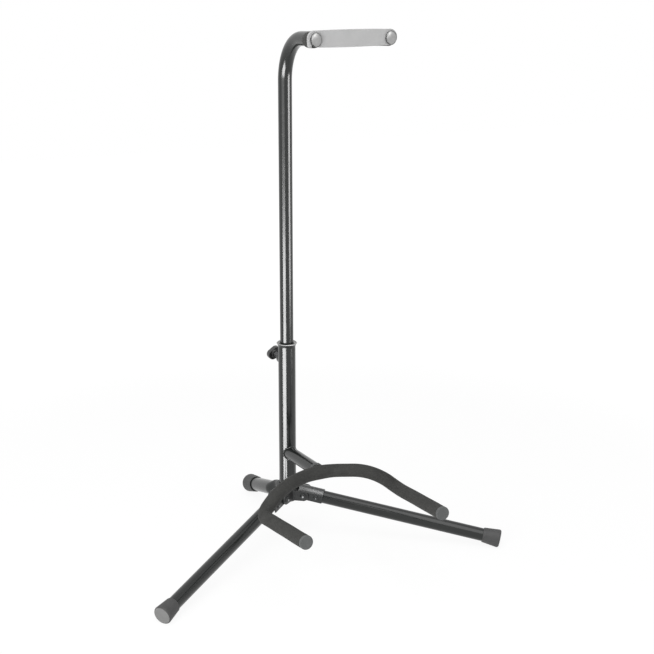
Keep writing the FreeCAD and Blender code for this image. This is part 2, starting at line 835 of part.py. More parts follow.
def yoke_wire():
    """A half ring, open to the front, with a short straight prong at each end."""
    front = -yoke_front_distance
    centre_y = -yoke_centre_distance
    left = vec(-yoke_radius, front, neck_corner_height)
    right = vec(yoke_radius, front, neck_corner_height)
    left_join = vec(-yoke_radius, centre_y, neck_corner_height)
    right_join = vec(yoke_radius, centre_y, neck_corner_height)
    back = vec(0, centre_y + yoke_radius, neck_corner_height)
    edges = [
        Part.LineSegment(left, left_join).toShape(),
        Part.Arc(left_join, back, right_join).toShape(),
        Part.LineSegment(right_join, right).toShape(),
    ]
    return left, Part.Wire(edges)


def yoke_core(radius):
    start, wire = yoke_wire()
    return swept(wire, start, y_axis, radius)


def stud_root(side, radius, start, end):
    x = side * yoke_radius
    return rod(vec(x, -start, neck_corner_height), vec(x, -end, neck_corner_height), radius)


def make_yoke_rod():
    core = yoke_core(yoke_rod_diameter / 2)
    for side in (-1, 1):
        core = core.cut(stud_root(side, stud_root_diameter / 2 + seat_clearance,
                                  yoke_front_distance - stud_root_length - seat_clearance,
                                  yoke_front_distance + overrun))
    return tilted(core)


def make_yoke_sleeve():
    sleeve = yoke_core(yoke_sleeve_diameter / 2).cut(yoke_core(yoke_rod_diameter / 2 + seat_clearance))
    stem = rod(vec(0, 0, neck_corner_height), vec(0, -upper_tube_reach - free_clearance, neck_corner_height),
               upper_radius + free_clearance)
    return tilted(sleeve.cut(stem))


def make_yoke_weld():
    """The bead round the end of the upper tube, where it meets the yoke's rod."""
    distance = yoke_back_distance - yoke_sleeve_diameter / 2 - free_clearance
    bead = pipe(vec(0, -distance + weld_size, neck_corner_height), vec(0, -distance, neck_corner_height),
                upper_radius + weld_size / 2, upper_radius + seat_clearance)
    return tilted(bead)


def make_stud(side):
    root = stud_root(side, stud_root_diameter / 2, yoke_front_distance - stud_root_length,
                     yoke_front_distance)
    shank = stud_root(side, stud_shank_diameter / 2, yoke_front_distance, stud_head_distance)
    crown = dome(stud_head_height / 2, stud_head_thickness - stud_head_rim)
    crown.translate(vec(0, 0, stud_head_rim))
    rim = Part.makeCylinder(stud_head_height / 2, stud_head_rim)
    head = crown.fuse(rim).removeSplitter()
    squeeze = FreeCAD.Matrix()
    squeeze.scale(stud_head_width / stud_head_height, 1, 1)
    head = head.transformGeometry(squeeze)
    head.rotate(origin, x_axis, 90)
    head.translate(vec(side * yoke_radius, -stud_head_distance, neck_corner_height))
    return tilted(root.fuse([shank, head]).removeSplitter())


# Rubber gate: it turns on the right stud and its left end hooks over the left one

def gate_outline():
    """The strip from the middle of the hook to the round right end, slightly crowned above and below."""
    left = -yoke_radius + gate_hook_shift
    right = yoke_radius
    middle = (left + right) / 2
    y = -gate_front_distance
    half = gate_end_height / 2
    level = neck_corner_height
    end_level = level + gate_end_rise
    left_top = level + gate_hook_radius
    left_bottom = level - gate_hook_drop
    right_top = end_level + half
    right_bottom = end_level - half
    edges = [
        Part.Arc(vec(left, y, left_top), vec(middle, y, (left_top + right_top) / 2 + gate_crown),
                 vec(right, y, right_top)).toShape(),
        Part.Arc(vec(right, y, right_top), vec(right + half, y, end_level),
                 vec(right, y, right_bottom)).toShape(),
        Part.Arc(vec(right, y, right_bottom), vec(middle, y, (left_bottom + right_bottom) / 2 - gate_crown),
                 vec(left, y, left_bottom)).toShape(),
        Part.LineSegment(vec(left, y, left_bottom), vec(left, y, left_top)).toShape(),
    ]
    return Part.Face(Part.Wire(edges))


def make_neck_gate():
    strip = gate_outline().extrude(vec(0, gate_thickness, 0))
    front = -gate_front_distance
    stud = -yoke_radius
    left = stud + gate_hook_shift
    level = neck_corner_height
    hook = rod(vec(left, front, level), vec(left, front + gate_thickness, level), gate_hook_radius)
    below = Part.makeBox(2 * gate_hook_radius, gate_thickness, gate_hook_radius,
                         vec(left - gate_hook_radius, front, level - gate_hook_drop - gate_hook_radius))
    body = strip.fuse(hook.cut(below)).removeSplitter()
    half_slot = gate_slot_width / 2
    seat = level + stud_shank_diameter / 2 + seat_clearance - half_slot
    near = front - overrun
    far = front + gate_thickness + overrun
    reach = 2 * gate_hook_radius
    slot = Part.makeBox(gate_slot_width, far - near, reach, vec(stud - half_slot, near, seat - reach))
    mouth = rod(vec(stud, near, seat), vec(stud, far, seat), half_slot)
    hole = rod(vec(yoke_radius, near, level), vec(yoke_radius, far, level),
               stud_shank_diameter / 2 + running_clearance)
    return tilted(body.cut(slot).cut(mouth).cut(hole))


# All pieces by name

def make_pieces():
    pieces = {
        "lower_tube": make_lower_tube(),
        "mouth_bush": make_mouth_bush(),
        "upper_tube": make_upper_tube(),
        "slide_plug": make_slide_plug(),
        "column_plug": make_column_plug(),
        "column_washer": make_column_washer(),
        "column_screw": make_column_screw(),
        "clamp_boss": make_clamp_boss(),
        "clamp_pad": make_clamp_pad(),
        "clamp_screw": make_clamp_screw(),
        "wing_knob": make_wing_knob(),
        "hub": make_hub(),
        "rear_leg": make_rear_leg(),
        "rear_leg_rivet": make_rear_rivet(),
        "rear_foot": make_rear_foot(),
        "support_arm": make_support_arm(),
        "arm_root_weld": make_arm_root_weld(),
        "arm_collar": make_arm_collar(),
        "cradle_rod": make_cradle_rod(),
        "cradle_foam": make_cradle_foam(),
        "yoke_rod": make_yoke_rod(),
        "yoke_sleeve": make_yoke_sleeve(),
        "yoke_weld": make_yoke_weld(),
        "neck_gate": make_neck_gate(),
    }
    for name, side in (("left", -1), ("right", 1)):
        pieces[name + "_leg_bracket"] = make_leg_bracket(side)
        pieces[name + "_leg_tube"] = make_leg_tube(side)
        pieces[name + "_leg_rivet"] = make_leg_rivet(side)
        pieces[name + "_pivot_rivet"] = make_pivot_rivet(side)
        pieces[name + "_pivot_spacer"] = make_pivot_spacer(side)
        pieces[name + "_foot"] = make_front_foot(side)
        pieces[name + "_cradle_cap"] = make_cradle_cap(side)
        pieces[name + "_gate_stud"] = make_stud(side)
    return pieces


def main():
    pieces = make_pieces()
    box = Part.makeCompound(list(pieces.values())).optimalBoundingBox(False, False)
    shift = vec(0, -(box.YMin + box.YMax) / 2, 0)
    for name, shape in pieces.items():
        shape.translate(shift)
        shape.exportStep(os.path.join("parts", name + ".step"))
        print(name, len(shape.Solids), "solid", round(shape.Volume), "mm3", "valid", shape.isValid())
    print("column axis Y", round(shift.y, 4))
    print("front leg slope", round(math.degrees(front_slope), 3), "rear", round(math.degrees(rear_slope), 3))
    print("stand", [round(v, 2) for v in (box.XLength, box.YLength, box.ZLength)],
          "lowest", round(box.ZMin, 4))


main()
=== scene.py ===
# %% [markdown]
# # A folding guitar stand
# The stand is bent steel tube with a stoved black finish. Foam covers the cradle that holds the guitar's
# body and the yoke that holds its neck, and a rubber strap closes the yoke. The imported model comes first:
# it has every piece in its place and at its size, and nothing in it is moved.

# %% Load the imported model
import json

import bmesh
import bpy
import numpy as np
from mathutils import Matrix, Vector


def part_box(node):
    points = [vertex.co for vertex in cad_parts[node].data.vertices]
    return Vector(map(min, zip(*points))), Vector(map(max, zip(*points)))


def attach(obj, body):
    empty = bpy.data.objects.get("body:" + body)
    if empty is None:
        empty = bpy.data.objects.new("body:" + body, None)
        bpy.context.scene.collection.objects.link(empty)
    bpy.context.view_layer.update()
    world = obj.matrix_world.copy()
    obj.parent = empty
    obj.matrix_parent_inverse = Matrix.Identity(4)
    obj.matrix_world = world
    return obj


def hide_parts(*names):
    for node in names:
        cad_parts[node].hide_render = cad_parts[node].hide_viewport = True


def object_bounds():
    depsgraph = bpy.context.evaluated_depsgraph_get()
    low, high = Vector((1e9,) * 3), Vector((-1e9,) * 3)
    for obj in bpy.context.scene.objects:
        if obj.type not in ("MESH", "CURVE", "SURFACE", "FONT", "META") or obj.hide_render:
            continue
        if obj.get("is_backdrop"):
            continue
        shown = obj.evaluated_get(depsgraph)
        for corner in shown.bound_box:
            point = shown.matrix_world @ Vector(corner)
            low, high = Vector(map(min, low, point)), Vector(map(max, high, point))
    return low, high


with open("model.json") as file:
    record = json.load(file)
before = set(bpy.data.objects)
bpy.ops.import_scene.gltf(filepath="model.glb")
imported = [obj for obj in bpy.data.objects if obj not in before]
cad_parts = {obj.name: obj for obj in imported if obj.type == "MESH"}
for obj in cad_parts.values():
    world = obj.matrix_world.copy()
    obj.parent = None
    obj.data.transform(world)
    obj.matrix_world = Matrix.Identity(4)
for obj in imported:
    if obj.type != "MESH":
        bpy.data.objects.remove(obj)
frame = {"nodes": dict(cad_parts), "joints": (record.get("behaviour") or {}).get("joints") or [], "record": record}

cad_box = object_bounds()
print("pieces in the model:", len(frame["nodes"]))

# %% [markdown]
# ## Places and sizes
# Blender counts in metres and a workshop drawing in millimetres, so every size here is a number times MM.
# Most places are read from the box of the node that a piece stands for. Those looks follow the model when
# a size changes, which typed coordinates wouldn't do.

# %% Reading the model
MM = 0.001
home = {node: body for body, nodes in frame["record"]["behaviour"]["bodies"].items() for node in nodes}


def low(node):
    """Lowest corner of a node's box."""
    return np.array(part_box(node)[0])


def high(node):
    """Highest corner of a node's box."""
    return np.array(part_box(node)[1])


def middle(node):
    """Middle of a node's box, which lies on the axis of a plain round piece."""
    return (low(node) + high(node)) / 2


def unit(vectors):
    """The same directions with a length of 1."""
    vectors = np.asarray(vectors, float)
    return vectors / np.linalg.norm(vectors, axis=-1, keepdims=True)


up_axis = np.array([0.0, 0.0, 1.0])
column = middle("lower_tube") * [1, 1, 0]
print("column axis at", column.round(4))

# %% [markdown]
# ## The camera
# The camera stands where the photographer did: to the left of the stand, above its middle, looking
# slightly down. Its place was found by fitting the feet, the column and the yoke to the photograph. A
# camera is a matrix whose columns point right, up and backwards, so those three directions are worked out
# and put in it, which is surer than three typed angles.

# %% Place the camera
image_pixels = 654
focal_pixels = 1222.5
camera_distance = 1411.9 * MM
camera_height = 702.9 * MM
camera_bearing = 0.407
camera_yaw = 0.0345
camera_pitch = 0.299
camera_roll = 0.003


def level(bearing):
    """The level direction that is turned by a bearing from +Y towards +X."""
    return np.array([np.sin(bearing), np.cos(bearing), 0.0])


def add_camera():
    """Forward is the level heading tipped down by the pitch, and right and up are then rolled about it."""
    place = column - camera_distance * level(camera_bearing) + camera_height * up_axis
    heading = level(camera_bearing + camera_yaw)
    forward = heading * np.cos(camera_pitch) - up_axis * np.sin(camera_pitch)
    right = np.cross(heading, up_axis)
    up = np.cross(right, forward)
    right, up = (right * np.cos(camera_roll) + up * np.sin(camera_roll),
                 up * np.cos(camera_roll) - right * np.sin(camera_roll))
    lens = bpy.data.cameras.new("camera")
    lens.lens = lens.sensor_width * focal_pixels / image_pixels
    camera = bpy.data.objects.new("camera", lens)
    bpy.context.scene.collection.objects.link(camera)
    matrix = np.eye(4)
    matrix[:3] = np.stack([right, up, -forward, place], axis=1)
    camera.matrix_world = Matrix(matrix)
    bpy.context.scene.camera = camera
    print("camera at", place.round(3), "with a lens of", round(lens.lens, 1), "mm")


add_camera()

# %% [markdown]
# ## Surfaces from grids
# Most pieces here are turned, bent or drawn from tube, so one way of making surfaces serves them all: a
# grid of points whose rows run along the piece and whose columns run round it. The grid is worked out with
# whole arrays, and the faces join each point to its neighbours. Rows that shrink to one point close a pole,
# and merging the doubled points there leaves a shell without holes.

# %% Skin a grid of points
same_place = 0.002 * MM


def new_mesh(name, points, faces):
    """A mesh from an array of points and an array of corner numbers."""
    mesh = bpy.data.meshes.new(name)
    mesh.from_pydata(np.asarray(points).reshape(-1, 3).tolist(), [], np.asarray(faces).tolist())
    return mesh


def skin(name, *grids, ring=False):
    """Skin grids of points: face corners are (i, j), (i, j + 1), (i + 1, j + 1), (i + 1, j).

    The last column joins the first, and with ring the last row joins the first too.
    """
    points, faces, used = [], [], 0
    for grid in grids:
        rows, columns = grid.shape[:2]
        index = used + np.arange(rows * columns).reshape(rows, columns)
        index = np.vstack([index, index[:1]]) if ring else index
        a, b = index[:-1], index[1:]
        quads = np.stack([a, np.roll(a, -1, 1), np.roll(b, -1, 1), b], axis=-1)
        points.append(grid.reshape(-1, 3))
        faces.append(quads.reshape(-1, 4))
        used += rows * columns
    mesh = new_mesh(name, np.concatenate(points), np.concatenate(faces))
    return outwards(mesh)


def outwards(mesh):
    """Merge the points that lie on each other and turn every face outwards."""
    work = bmesh.new()
    work.from_mesh(mesh)
    bmesh.ops.remove_doubles(work, verts=work.verts, dist=same_place)
    bmesh.ops.recalc_face_normals(work, faces=work.faces)
    work.to_mesh(mesh)
    work.free()
    mesh.shade_smooth()
    return mesh


def piece(mesh, node, finish, slot, *also):
    """Show a mesh in place of a node, on the body that the node rides on.

    Weighted normals keep large faces flat beside their small rounded edges.
    """
    made = bpy.data.objects.new(mesh.name, mesh)
    bpy.context.scene.collection.objects.link(made)
    mesh.materials.append(finish)
    for other in also:
        mesh.materials.append(other)
    made.modifiers.new("even normals", "WEIGHTED_NORMAL").keep_sharp = True
    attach(made, home[node])
    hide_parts(node)
    print(made.name, "has", len(mesh.polygons), "faces")
    return made


def face_places(mesh, start, along):
    """How far each face's middle is from a line, and how far along it."""
    middles = np.empty(len(mesh.polygons) * 3)
    mesh.polygons.foreach_get("center", middles)
    offset = middles.reshape(-1, 3) - start
    distance = offset @ along
    return np.linalg.norm(offset - distance[:, None] * along, axis=1), distance


def second_finish(mesh, where):
    """Give the second material to the faces where an array is true."""
    mesh.polygons.foreach_set("material_index", where.astype(np.int32))


def thicken(made, thickness, edge, segments):
    """Give a sheet of faces its thickness and round its edges, and then move the even normals behind both."""
    wall = made.modifiers.new("thickness", "SOLIDIFY")
    wall.thickness = thickness
    wall.offset = -1.0
    edges = made.modifiers.new("rounded edges", "BEVEL")
    edges.width = edge
    edges.segments = segments
    edges.limit_method = "ANGLE"
    edges.angle_limit = np.radians(50)
    made.modifiers.move(0, 2)
    return made


# %% [markdown]
# ## Outlines, paths and frames
# A drawing gives corners and radii, not hundreds of points. `rounded` turns the one into the other, in the
# plane for an outline and in space for a bent tube, because a tangent arc is the same thing in both.

# %% Corners to arcs
def rounded(corners, radii, steps=8, closed=False):
    """Straight runs joined by tangent arcs.

    An arc starts radius / tan(half the angle) from its corner, and its centre is radius / sin(half the
    angle) away on the bisector. Its points are centre + start * cos(turn) + onward * sin(turn), where
    onward is a radius long and points along the run that the arc leaves.
    """
    corners = np.asarray(corners, float)
    if closed:
        before, at, after = np.roll(corners, 1, 0), corners, np.roll(corners, -1, 0)
    else:
        before, at, after = corners[:-2], corners[1:-1], corners[2:]
    back, ahead = unit(before - at), unit(after - at)
    half = np.arccos(np.clip((back * ahead).sum(1), -1, 1)) / 2
    radius = np.broadcast_to(np.asarray(radii, float), half.shape)
    centre = at + unit(back + ahead) * (radius / np.sin(half))[:, None]
    start = at + back * (radius / np.tan(half))[:, None] - centre
    turn = np.linspace(0, 1, steps + 1)[None, :, None] * (np.pi - 2 * half)[:, None, None]
    onward = -radius[:, None, None] * back[:, None]
    arcs = centre[:, None] + start[:, None] * np.cos(turn) + onward * np.sin(turn)
    points = arcs.reshape(-1, corners.shape[1])
    if not closed:
        points = np.vstack([corners[:1], points, corners[-1:]])
    gaps = np.linalg.norm(np.diff(points, axis=0), axis=1)
    return points[np.concatenate([[True], gaps > same_place])]


def lengths(path):
    """Distance of each point of a path from its start."""
    return np.concatenate([[0.0], np.cumsum(np.linalg.norm(np.diff(path, axis=0), axis=1))])


def spread(path, step):
    """The path's own distances, and others between them so that no gap is over the step."""
    own = lengths(path)
    count = np.maximum(np.ceil(np.diff(own) / step).astype(int), 1)
    parts = [np.linspace(a, b, n, endpoint=False) for a, b, n in zip(own[:-1], own[1:], count)]
    return np.concatenate(parts + [own[-1:]])


def square_to(along, hint=up_axis):
    """Two directions square to a line: across, which is also square to the hint, and over."""
    hint = np.where(np.abs(along @ hint)[..., None] > 0.99, [0.0, 1.0, 0.0], hint)
    across = unit(np.cross(hint, along))
    return across, np.cross(along, across)


def circle(steps):
    """Angles once round."""
    return np.linspace(0, 2 * np.pi, steps, endpoint=False)


def turned(place, along, outline, steps=64):
    """Turn an outline of (distance, radius) pairs about a line.

    Point = place + distance * along + radius * (cos(angle) * across + sin(angle) * over).
    """
    along = unit(along)
    across, over = square_to(along)
    outline = np.asarray(outline, float)
    angle = circle(steps)[None, :, None]
    return (place + outline[:, 0, None, None] * along
            + outline[:, 1, None, None] * (np.cos(angle) * across + np.sin(angle) * over))


def carried(path, outline, hint=up_axis, steps=48, swell=None):
    """Carry an outline of (distance, radius) pairs along a bent path.

    The centre and direction at each distance are read from the path, and each row is a circle square to
    that direction. Swell, a function of distance and angle, is added to the radius.
    """
    outline = np.asarray(outline, float)
    own = lengths(path)
    tangent = unit(np.gradient(path, own, axis=0))
    at = outline[:, 0]
    centre = np.stack([np.interp(at, own, path[:, k]) for k in range(3)], axis=1)
    along = unit(np.stack([np.interp(at, own, tangent[:, k]) for k in range(3)], axis=1))
    centre = centre + (np.minimum(at, 0) + np.maximum(at - own[-1], 0))[:, None] * along
    across, over = square_to(along, hint)
    angle = circle(steps)
    radius = outline[:, 1, None] * np.ones(steps)
    if swell is not None:
        radius = radius + swell(at[:, None], angle[None]) * (radius > 0)
    return (centre[:, None] + (radius * np.cos(angle))[..., None] * across[:, None]
            + (radius * np.sin(angle))[..., None] * over[:, None])


def tube_outline(distances, outer, inner, lip):
    """Outline of a tube's wall: out along the outside and back along the bore.

    Each end's outer edge is a quarter turn: (end - lip * (1 - sin), outer - lip * (1 - cos)). Both ways
    stop at every distance given, so that the outside and the bore follow the same bends.
    """
    start, end = distances[0], distances[-1]
    turn = np.linspace(0, np.pi / 2, 5)
    inside = distances[(distances > start + lip) & (distances < end - lip)]
    first = np.stack([start + lip * (1 - np.cos(turn)), outer - lip * (1 - np.sin(turn))], 1)
    last = np.stack([end - lip * (1 - np.cos(turn)), outer - lip * (1 - np.sin(turn))], 1)[::-1]
    along_outside = np.stack([inside, np.full(inside.shape, outer)], 1)
    bore = np.concatenate([[end], inside[::-1], [start]])
    return np.vstack([first, along_outside, last, np.stack([bore, np.full(bore.shape, inner)], 1)])


# %% [markdown]
# ## Finishes
# Each material is a small tree of nodes. One function adds a node, sets its options, and fills or links its
# inputs, so that a material reads as a list of what the surface is: its colour, how the colour varies, how
# rough it is, and what the fingers would feel. Patterns read Object coordinates, which are metres here, so
# a scale is written as one over the real size of a grain.

# %% Node and colour helpers
def linear(hex_colour):
    """An sRGB colour such as "1c1e1e" as linear RGBA: (c + 0.055) / 1.055 to the power 2.4, or c / 12.92."""
    c = np.array([int(hex_colour[i:i + 2], 16) for i in (0, 2, 4)]) / 255
    return tuple(np.where(c <= 0.04045, c / 12.92, ((c + 0.055) / 1.055) ** 2.4)) + (1.0,)


def node(tree, kind, inputs=None, **settings):
    """Add a node of a kind, set its properties, and fill each input with a value or a link."""
    made = tree.nodes.new(kind)
    for name, value in settings.items():
        setattr(made, name, value)
    for name, value in (inputs or {}).items():
        if isinstance(value, bpy.types.NodeSocket):
            tree.links.new(value, made.inputs[name])
        else:
            made.inputs[name].default_value = value
    return made


def new_finish(name):
    """An empty material, its tree, and the Object coordinates that its patterns read."""
    material = bpy.data.materials.new(name)
    material.use_nodes = True
    tree = material.node_tree
    tree.nodes.clear()
    place = node(tree, "ShaderNodeTexCoord").outputs["Object"]
    return material, tree, place


# %% [markdown]
# ### Stoved black enamel
# The tubes are enamelled and baked, which gives a deep gloss with a faint orange peel. Black gloss shows
# almost nothing of its own: what the eye sees is the room in it. So the base is nearly black and smooth, and
# the peel is a bump so shallow that it only makes the reflections shiver.

# %% Enamel on the tubes
def enamel(name, dark, light, roughness, peel):
    """A gloss or satin enamel: peel is the depth of its orange peel in millimetres."""
    material, tree, place = new_finish(name)
    cloud = node(tree, "ShaderNodeTexNoise", {"Vector": place, "Scale": 1 / (25 * MM), "Detail": 3.0})
    ripple = node(tree, "ShaderNodeTexNoise", {"Vector": place, "Scale": 1 / (1.8 * MM), "Detail": 1.0})
    rough = node(tree, "ShaderNodeMapRange", {"Value": cloud.outputs["Fac"], "From Min": 0.3, "From Max": 0.7,
                                              "To Min": roughness * 0.85, "To Max": roughness * 1.2})
    bump = node(tree, "ShaderNodeBump", {"Height": ripple.outputs["Fac"], "Strength": 1.0,
                                         "Distance": peel * MM})
    colour = node(tree, "ShaderNodeMix", {0: cloud.outputs["Fac"], 6: linear(dark), 7: linear(light)},
                  data_type="RGBA")
    shader = node(tree, "ShaderNodeBsdfPrincipled", {
        "Base Color": colour.outputs[2], "Roughness": rough.outputs[0], "IOR": 1.5,
        "Normal": bump.outputs[0]})
    node(tree, "ShaderNodeOutputMaterial", {"Surface": shader.outputs[0]})
    return material


tube_enamel = enamel("stoved_gloss_black_enamel", "121514", "1a1c1b", 0.2, 0.0006)
bracket_enamel = enamel("satin_black_enamel_on_pressed_steel", "1f2020", "2b2d2d", 0.28, 0.004)

# %% [markdown]
# ### Cast and moulded black
# The hub is a casting whose satin paint follows the sand-fine skin of the mould. The knob and bushes are
# moulded plastic, and the feet, caps and strap moulded rubber. All scatter light far more than enamel does,
# so they need a grain in the bump and a rougher surface.

# %% Castings and mouldings
def moulded(name, dark, light, grain, depth, roughness):
    """A matt skin with a grain: its size and depth are in millimetres."""
    material, tree, place = new_finish(name)
    cloud = node(tree, "ShaderNodeTexNoise", {"Vector": place, "Scale": 1 / (12 * MM), "Detail": 4.0})
    skin_grain = node(tree, "ShaderNodeTexNoise", {"Vector": place, "Scale": 1 / (grain * MM), "Detail": 3.0,
                                                   "Roughness": 0.6})
    rough = node(tree, "ShaderNodeMapRange", {"Value": skin_grain.outputs["Fac"], "From Min": 0.3,
                                              "From Max": 0.7, "To Min": roughness * 0.85,
                                              "To Max": min(roughness * 1.15, 1.0)})
    bump = node(tree, "ShaderNodeBump", {"Height": skin_grain.outputs["Fac"], "Strength": 1.0,
                                         "Distance": depth * MM})
    colour = node(tree, "ShaderNodeMix", {0: cloud.outputs["Fac"], 6: linear(dark), 7: linear(light)},
                  data_type="RGBA")
    shader = node(tree, "ShaderNodeBsdfPrincipled", {
        "Base Color": colour.outputs[2], "Roughness": rough.outputs[0], "IOR": 1.5,
        "Normal": bump.outputs[0]})
    node(tree, "ShaderNodeOutputMaterial", {"Surface": shader.outputs[0]})
    return material


cast_black = moulded("satin_paint_on_casting", "202121", "2f3030", 0.9, 0.05, 0.42)
plastic_black = moulded("moulded_black_nylon", "1c1c1c", "2a2a2a", 0.6, 0.02, 0.36)
foot_rubber = moulded("moulded_black_rubber", "3a3a3a", "4c4c4c", 0.7, 0.05, 0.62)
# A paler rubber for the middle of a foot's end: painted light on the face that looks towards the lamps.
painted_light_rubber = moulded("grey_rubber_with_painted_light", "6f6f6f", "818180", 0.8, 0.05, 0.6)
crimped_steel = moulded("painted_crimp_of_the_arm", "474848", "5a5b5b", 0.7, 0.04, 0.5)
cap_rubber = moulded("moulded_grey_rubber_cap", "4c4d4d", "5d5f5f", 0.8, 0.05, 0.6)
strap_rubber = moulded("moulded_pale_grey_rubber", "a7a7a7", "b6b6b6", 0.6, 0.03, 0.5)

# %% [markdown]
# ### Closed-cell foam
# The sleeves are extruded foam tube. Its cells are about half a millimetre across and the skin is cut open,
# so light is lost in them and the foam looks the same from any side. Voronoi cells give the pits, and a soft
# cloud the uneven tone. The cells are drawn a little coarser than real ones, because half a millimetre is
# finer than a pixel of the picture.

# %% Foam
def foam(name, dark, light, cell):
    """Open-cut foam with cells of a size in millimetres."""
    material, tree, place = new_finish(name)
    cells = node(tree, "ShaderNodeTexVoronoi", {"Vector": place, "Scale": 1 / (cell * MM)})
    cloud = node(tree, "ShaderNodeTexNoise", {"Vector": place, "Scale": 1 / (9 * MM), "Detail": 5.0})
    pit = node(tree, "ShaderNodeMapRange", {"Value": cells.outputs["Distance"], "From Min": 0.1,
                                            "From Max": 0.6, "To Min": 0.0, "To Max": 1.0})
    tone = node(tree, "ShaderNodeMath", {0: pit.outputs[0], 1: cloud.outputs["Fac"]}, operation="MULTIPLY")
    bump = node(tree, "ShaderNodeBump", {"Height": pit.outputs[0], "Strength": 0.8, "Distance": 0.12 * MM})
    colour = node(tree, "ShaderNodeMix", {0: tone.outputs[0], 6: linear(dark), 7: linear(light)},
                  data_type="RGBA")
    shader = node(tree, "ShaderNodeBsdfPrincipled", {
        "Base Color": colour.outputs[2], "Roughness": 0.92, "IOR": 1.4,
        "Specular IOR Level": 0.25, "Sheen Weight": 0.05, "Sheen Roughness": 0.5, "Normal": bump.outputs[0]})
    node(tree, "ShaderNodeOutputMaterial", {"Surface": shader.outputs[0]})
    return material


black_foam = foam("open_cut_black_foam", "343433", "4d4d4b", 0.8)

# %% [markdown]
# ### Bright metal
# The studs and rivet ends are bare metal. Metal has no colour under its reflection, so its base colour is
# the reflection's tint, and what tells brushed steel from chrome is fine grooves that stretch highlights.
# The groove noise is squeezed along one axis by a Mapping node.

# %% Bare and plated steel
def bright(name, dark, light, roughness, groove):
    """Bare steel with fine grooves, whose spacing is in millimetres."""
    material, tree, place = new_finish(name)
    stretched = node(tree, "ShaderNodeMapping", {"Vector": place, "Scale": (1.0, 1.0, 0.12)})
    grooves = node(tree, "ShaderNodeTexNoise", {"Vector": stretched.outputs[0], "Scale": 1 / (groove * MM),
                                                "Detail": 2.0})
    cloud = node(tree, "ShaderNodeTexNoise", {"Vector": place, "Scale": 1 / (4 * MM), "Detail": 3.0})
    rough = node(tree, "ShaderNodeMapRange", {"Value": cloud.outputs["Fac"], "From Min": 0.3, "From Max": 0.7,
                                              "To Min": roughness * 0.8, "To Max": roughness * 1.25})
    bump = node(tree, "ShaderNodeBump", {"Height": grooves.outputs["Fac"], "Strength": 0.6,
                                         "Distance": 0.01 * MM})
    colour = node(tree, "ShaderNodeMix", {0: cloud.outputs["Fac"], 6: linear(dark), 7: linear(light)},
                  data_type="RGBA")
    shader = node(tree, "ShaderNodeBsdfPrincipled", {
        "Base Color": colour.outputs[2], "Metallic": 1.0, "Roughness": rough.outputs[0],
        "Normal": bump.outputs[0]})
    node(tree, "ShaderNodeOutputMaterial", {"Surface": shader.outputs[0]})
    return material


stud_steel = bright("dull_nickel_on_steel", "929292", "b4b4b3", 0.36, 0.25)
rivet_steel = bright("zinc_plated_steel", "a4a5a6", "c4c5c6", 0.25, 0.3)
screw_steel = bright("black_oxide_on_steel", "3c3c3d", "525253", 0.3, 0.3)

# %% [markdown]
# ## Tubes
# The column is two drawn tubes. The upper one bends forward at the neck, and the lower one opens in a
# trumpet mouth where it was flared to take the bush. Both could be curves with a bevel, but a turned or
# carried outline also gives the wall, the bore and the lips, which show at the mouth.

# %% The line of the neck
hinge = next(joint for joint in frame["joints"] if joint["name"] == "gate_swing")
stud_line = unit(np.array(hinge["axis"]))
forward = -stud_line if stud_line[1] > 0 else stud_line
neck_up = np.cross(forward, [1.0, 0.0, 0.0])
strap_back_ahead = (hinge["pos_m"][1] - column[1]) / forward[1]
neck_corner = np.array(hinge["pos_m"]) * [0, 1, 1] - strap_back_ahead * forward
rod_radius = 5 * MM
yoke_back_ahead = (high("yoke_rod")[1] - rod_radius - column[1]) / forward[1]


def on_neck(x, ahead, above):
    """Points by their distances to the right, ahead of the bend's corner and above the neck's line."""
    x, ahead, above = np.broadcast_arrays(x, ahead, above)
    return neck_corner + x[..., None] * [1.0, 0, 0] + ahead[..., None] * forward + above[..., None] * neck_up


neck_rise = round(float(np.degrees(np.arcsin(forward[2]))), 2)
print("the neck's corner is at", neck_corner.round(4), "m and its line rises by", neck_rise, "degrees")

# %% Upper tube
tube_radius = 8 * MM
tube_wall = 1.2 * MM
tube_lip = 0.4 * MM
neck_bend_radius = 50 * MM
neck_end_gap = 0.7 * MM


def upper_tube():
    """The tube runs up the column's axis, round the bend and forward to the back of the yoke's rod."""
    foot = column + low("upper_tube")[2] * up_axis
    tip = on_neck(0.0, yoke_back_ahead - rod_radius - neck_end_gap, 0.0)
    path = rounded([foot, neck_corner, tip], neck_bend_radius, steps=32)
    outline = tube_outline(lengths(path), tube_radius, tube_radius - tube_wall, tube_lip)
    grid = carried(path, outline, hint=np.array([1.0, 0, 0]), steps=64)
    return piece(skin("upper_tube_drawn", grid, ring=True), "upper_tube", tube_enamel, "gloss_black_tube")


glossy_pieces = [upper_tube()]

# %% Lower tube with its trumpet mouth
sleeve_radius = 10.5 * MM
mouth_depth = 5 * MM
mouth_radius = (high("lower_tube") - low("lower_tube"))[0] / 2
mouth_height = high("lower_tube")[2]
painted_highlight_slope = 0.15


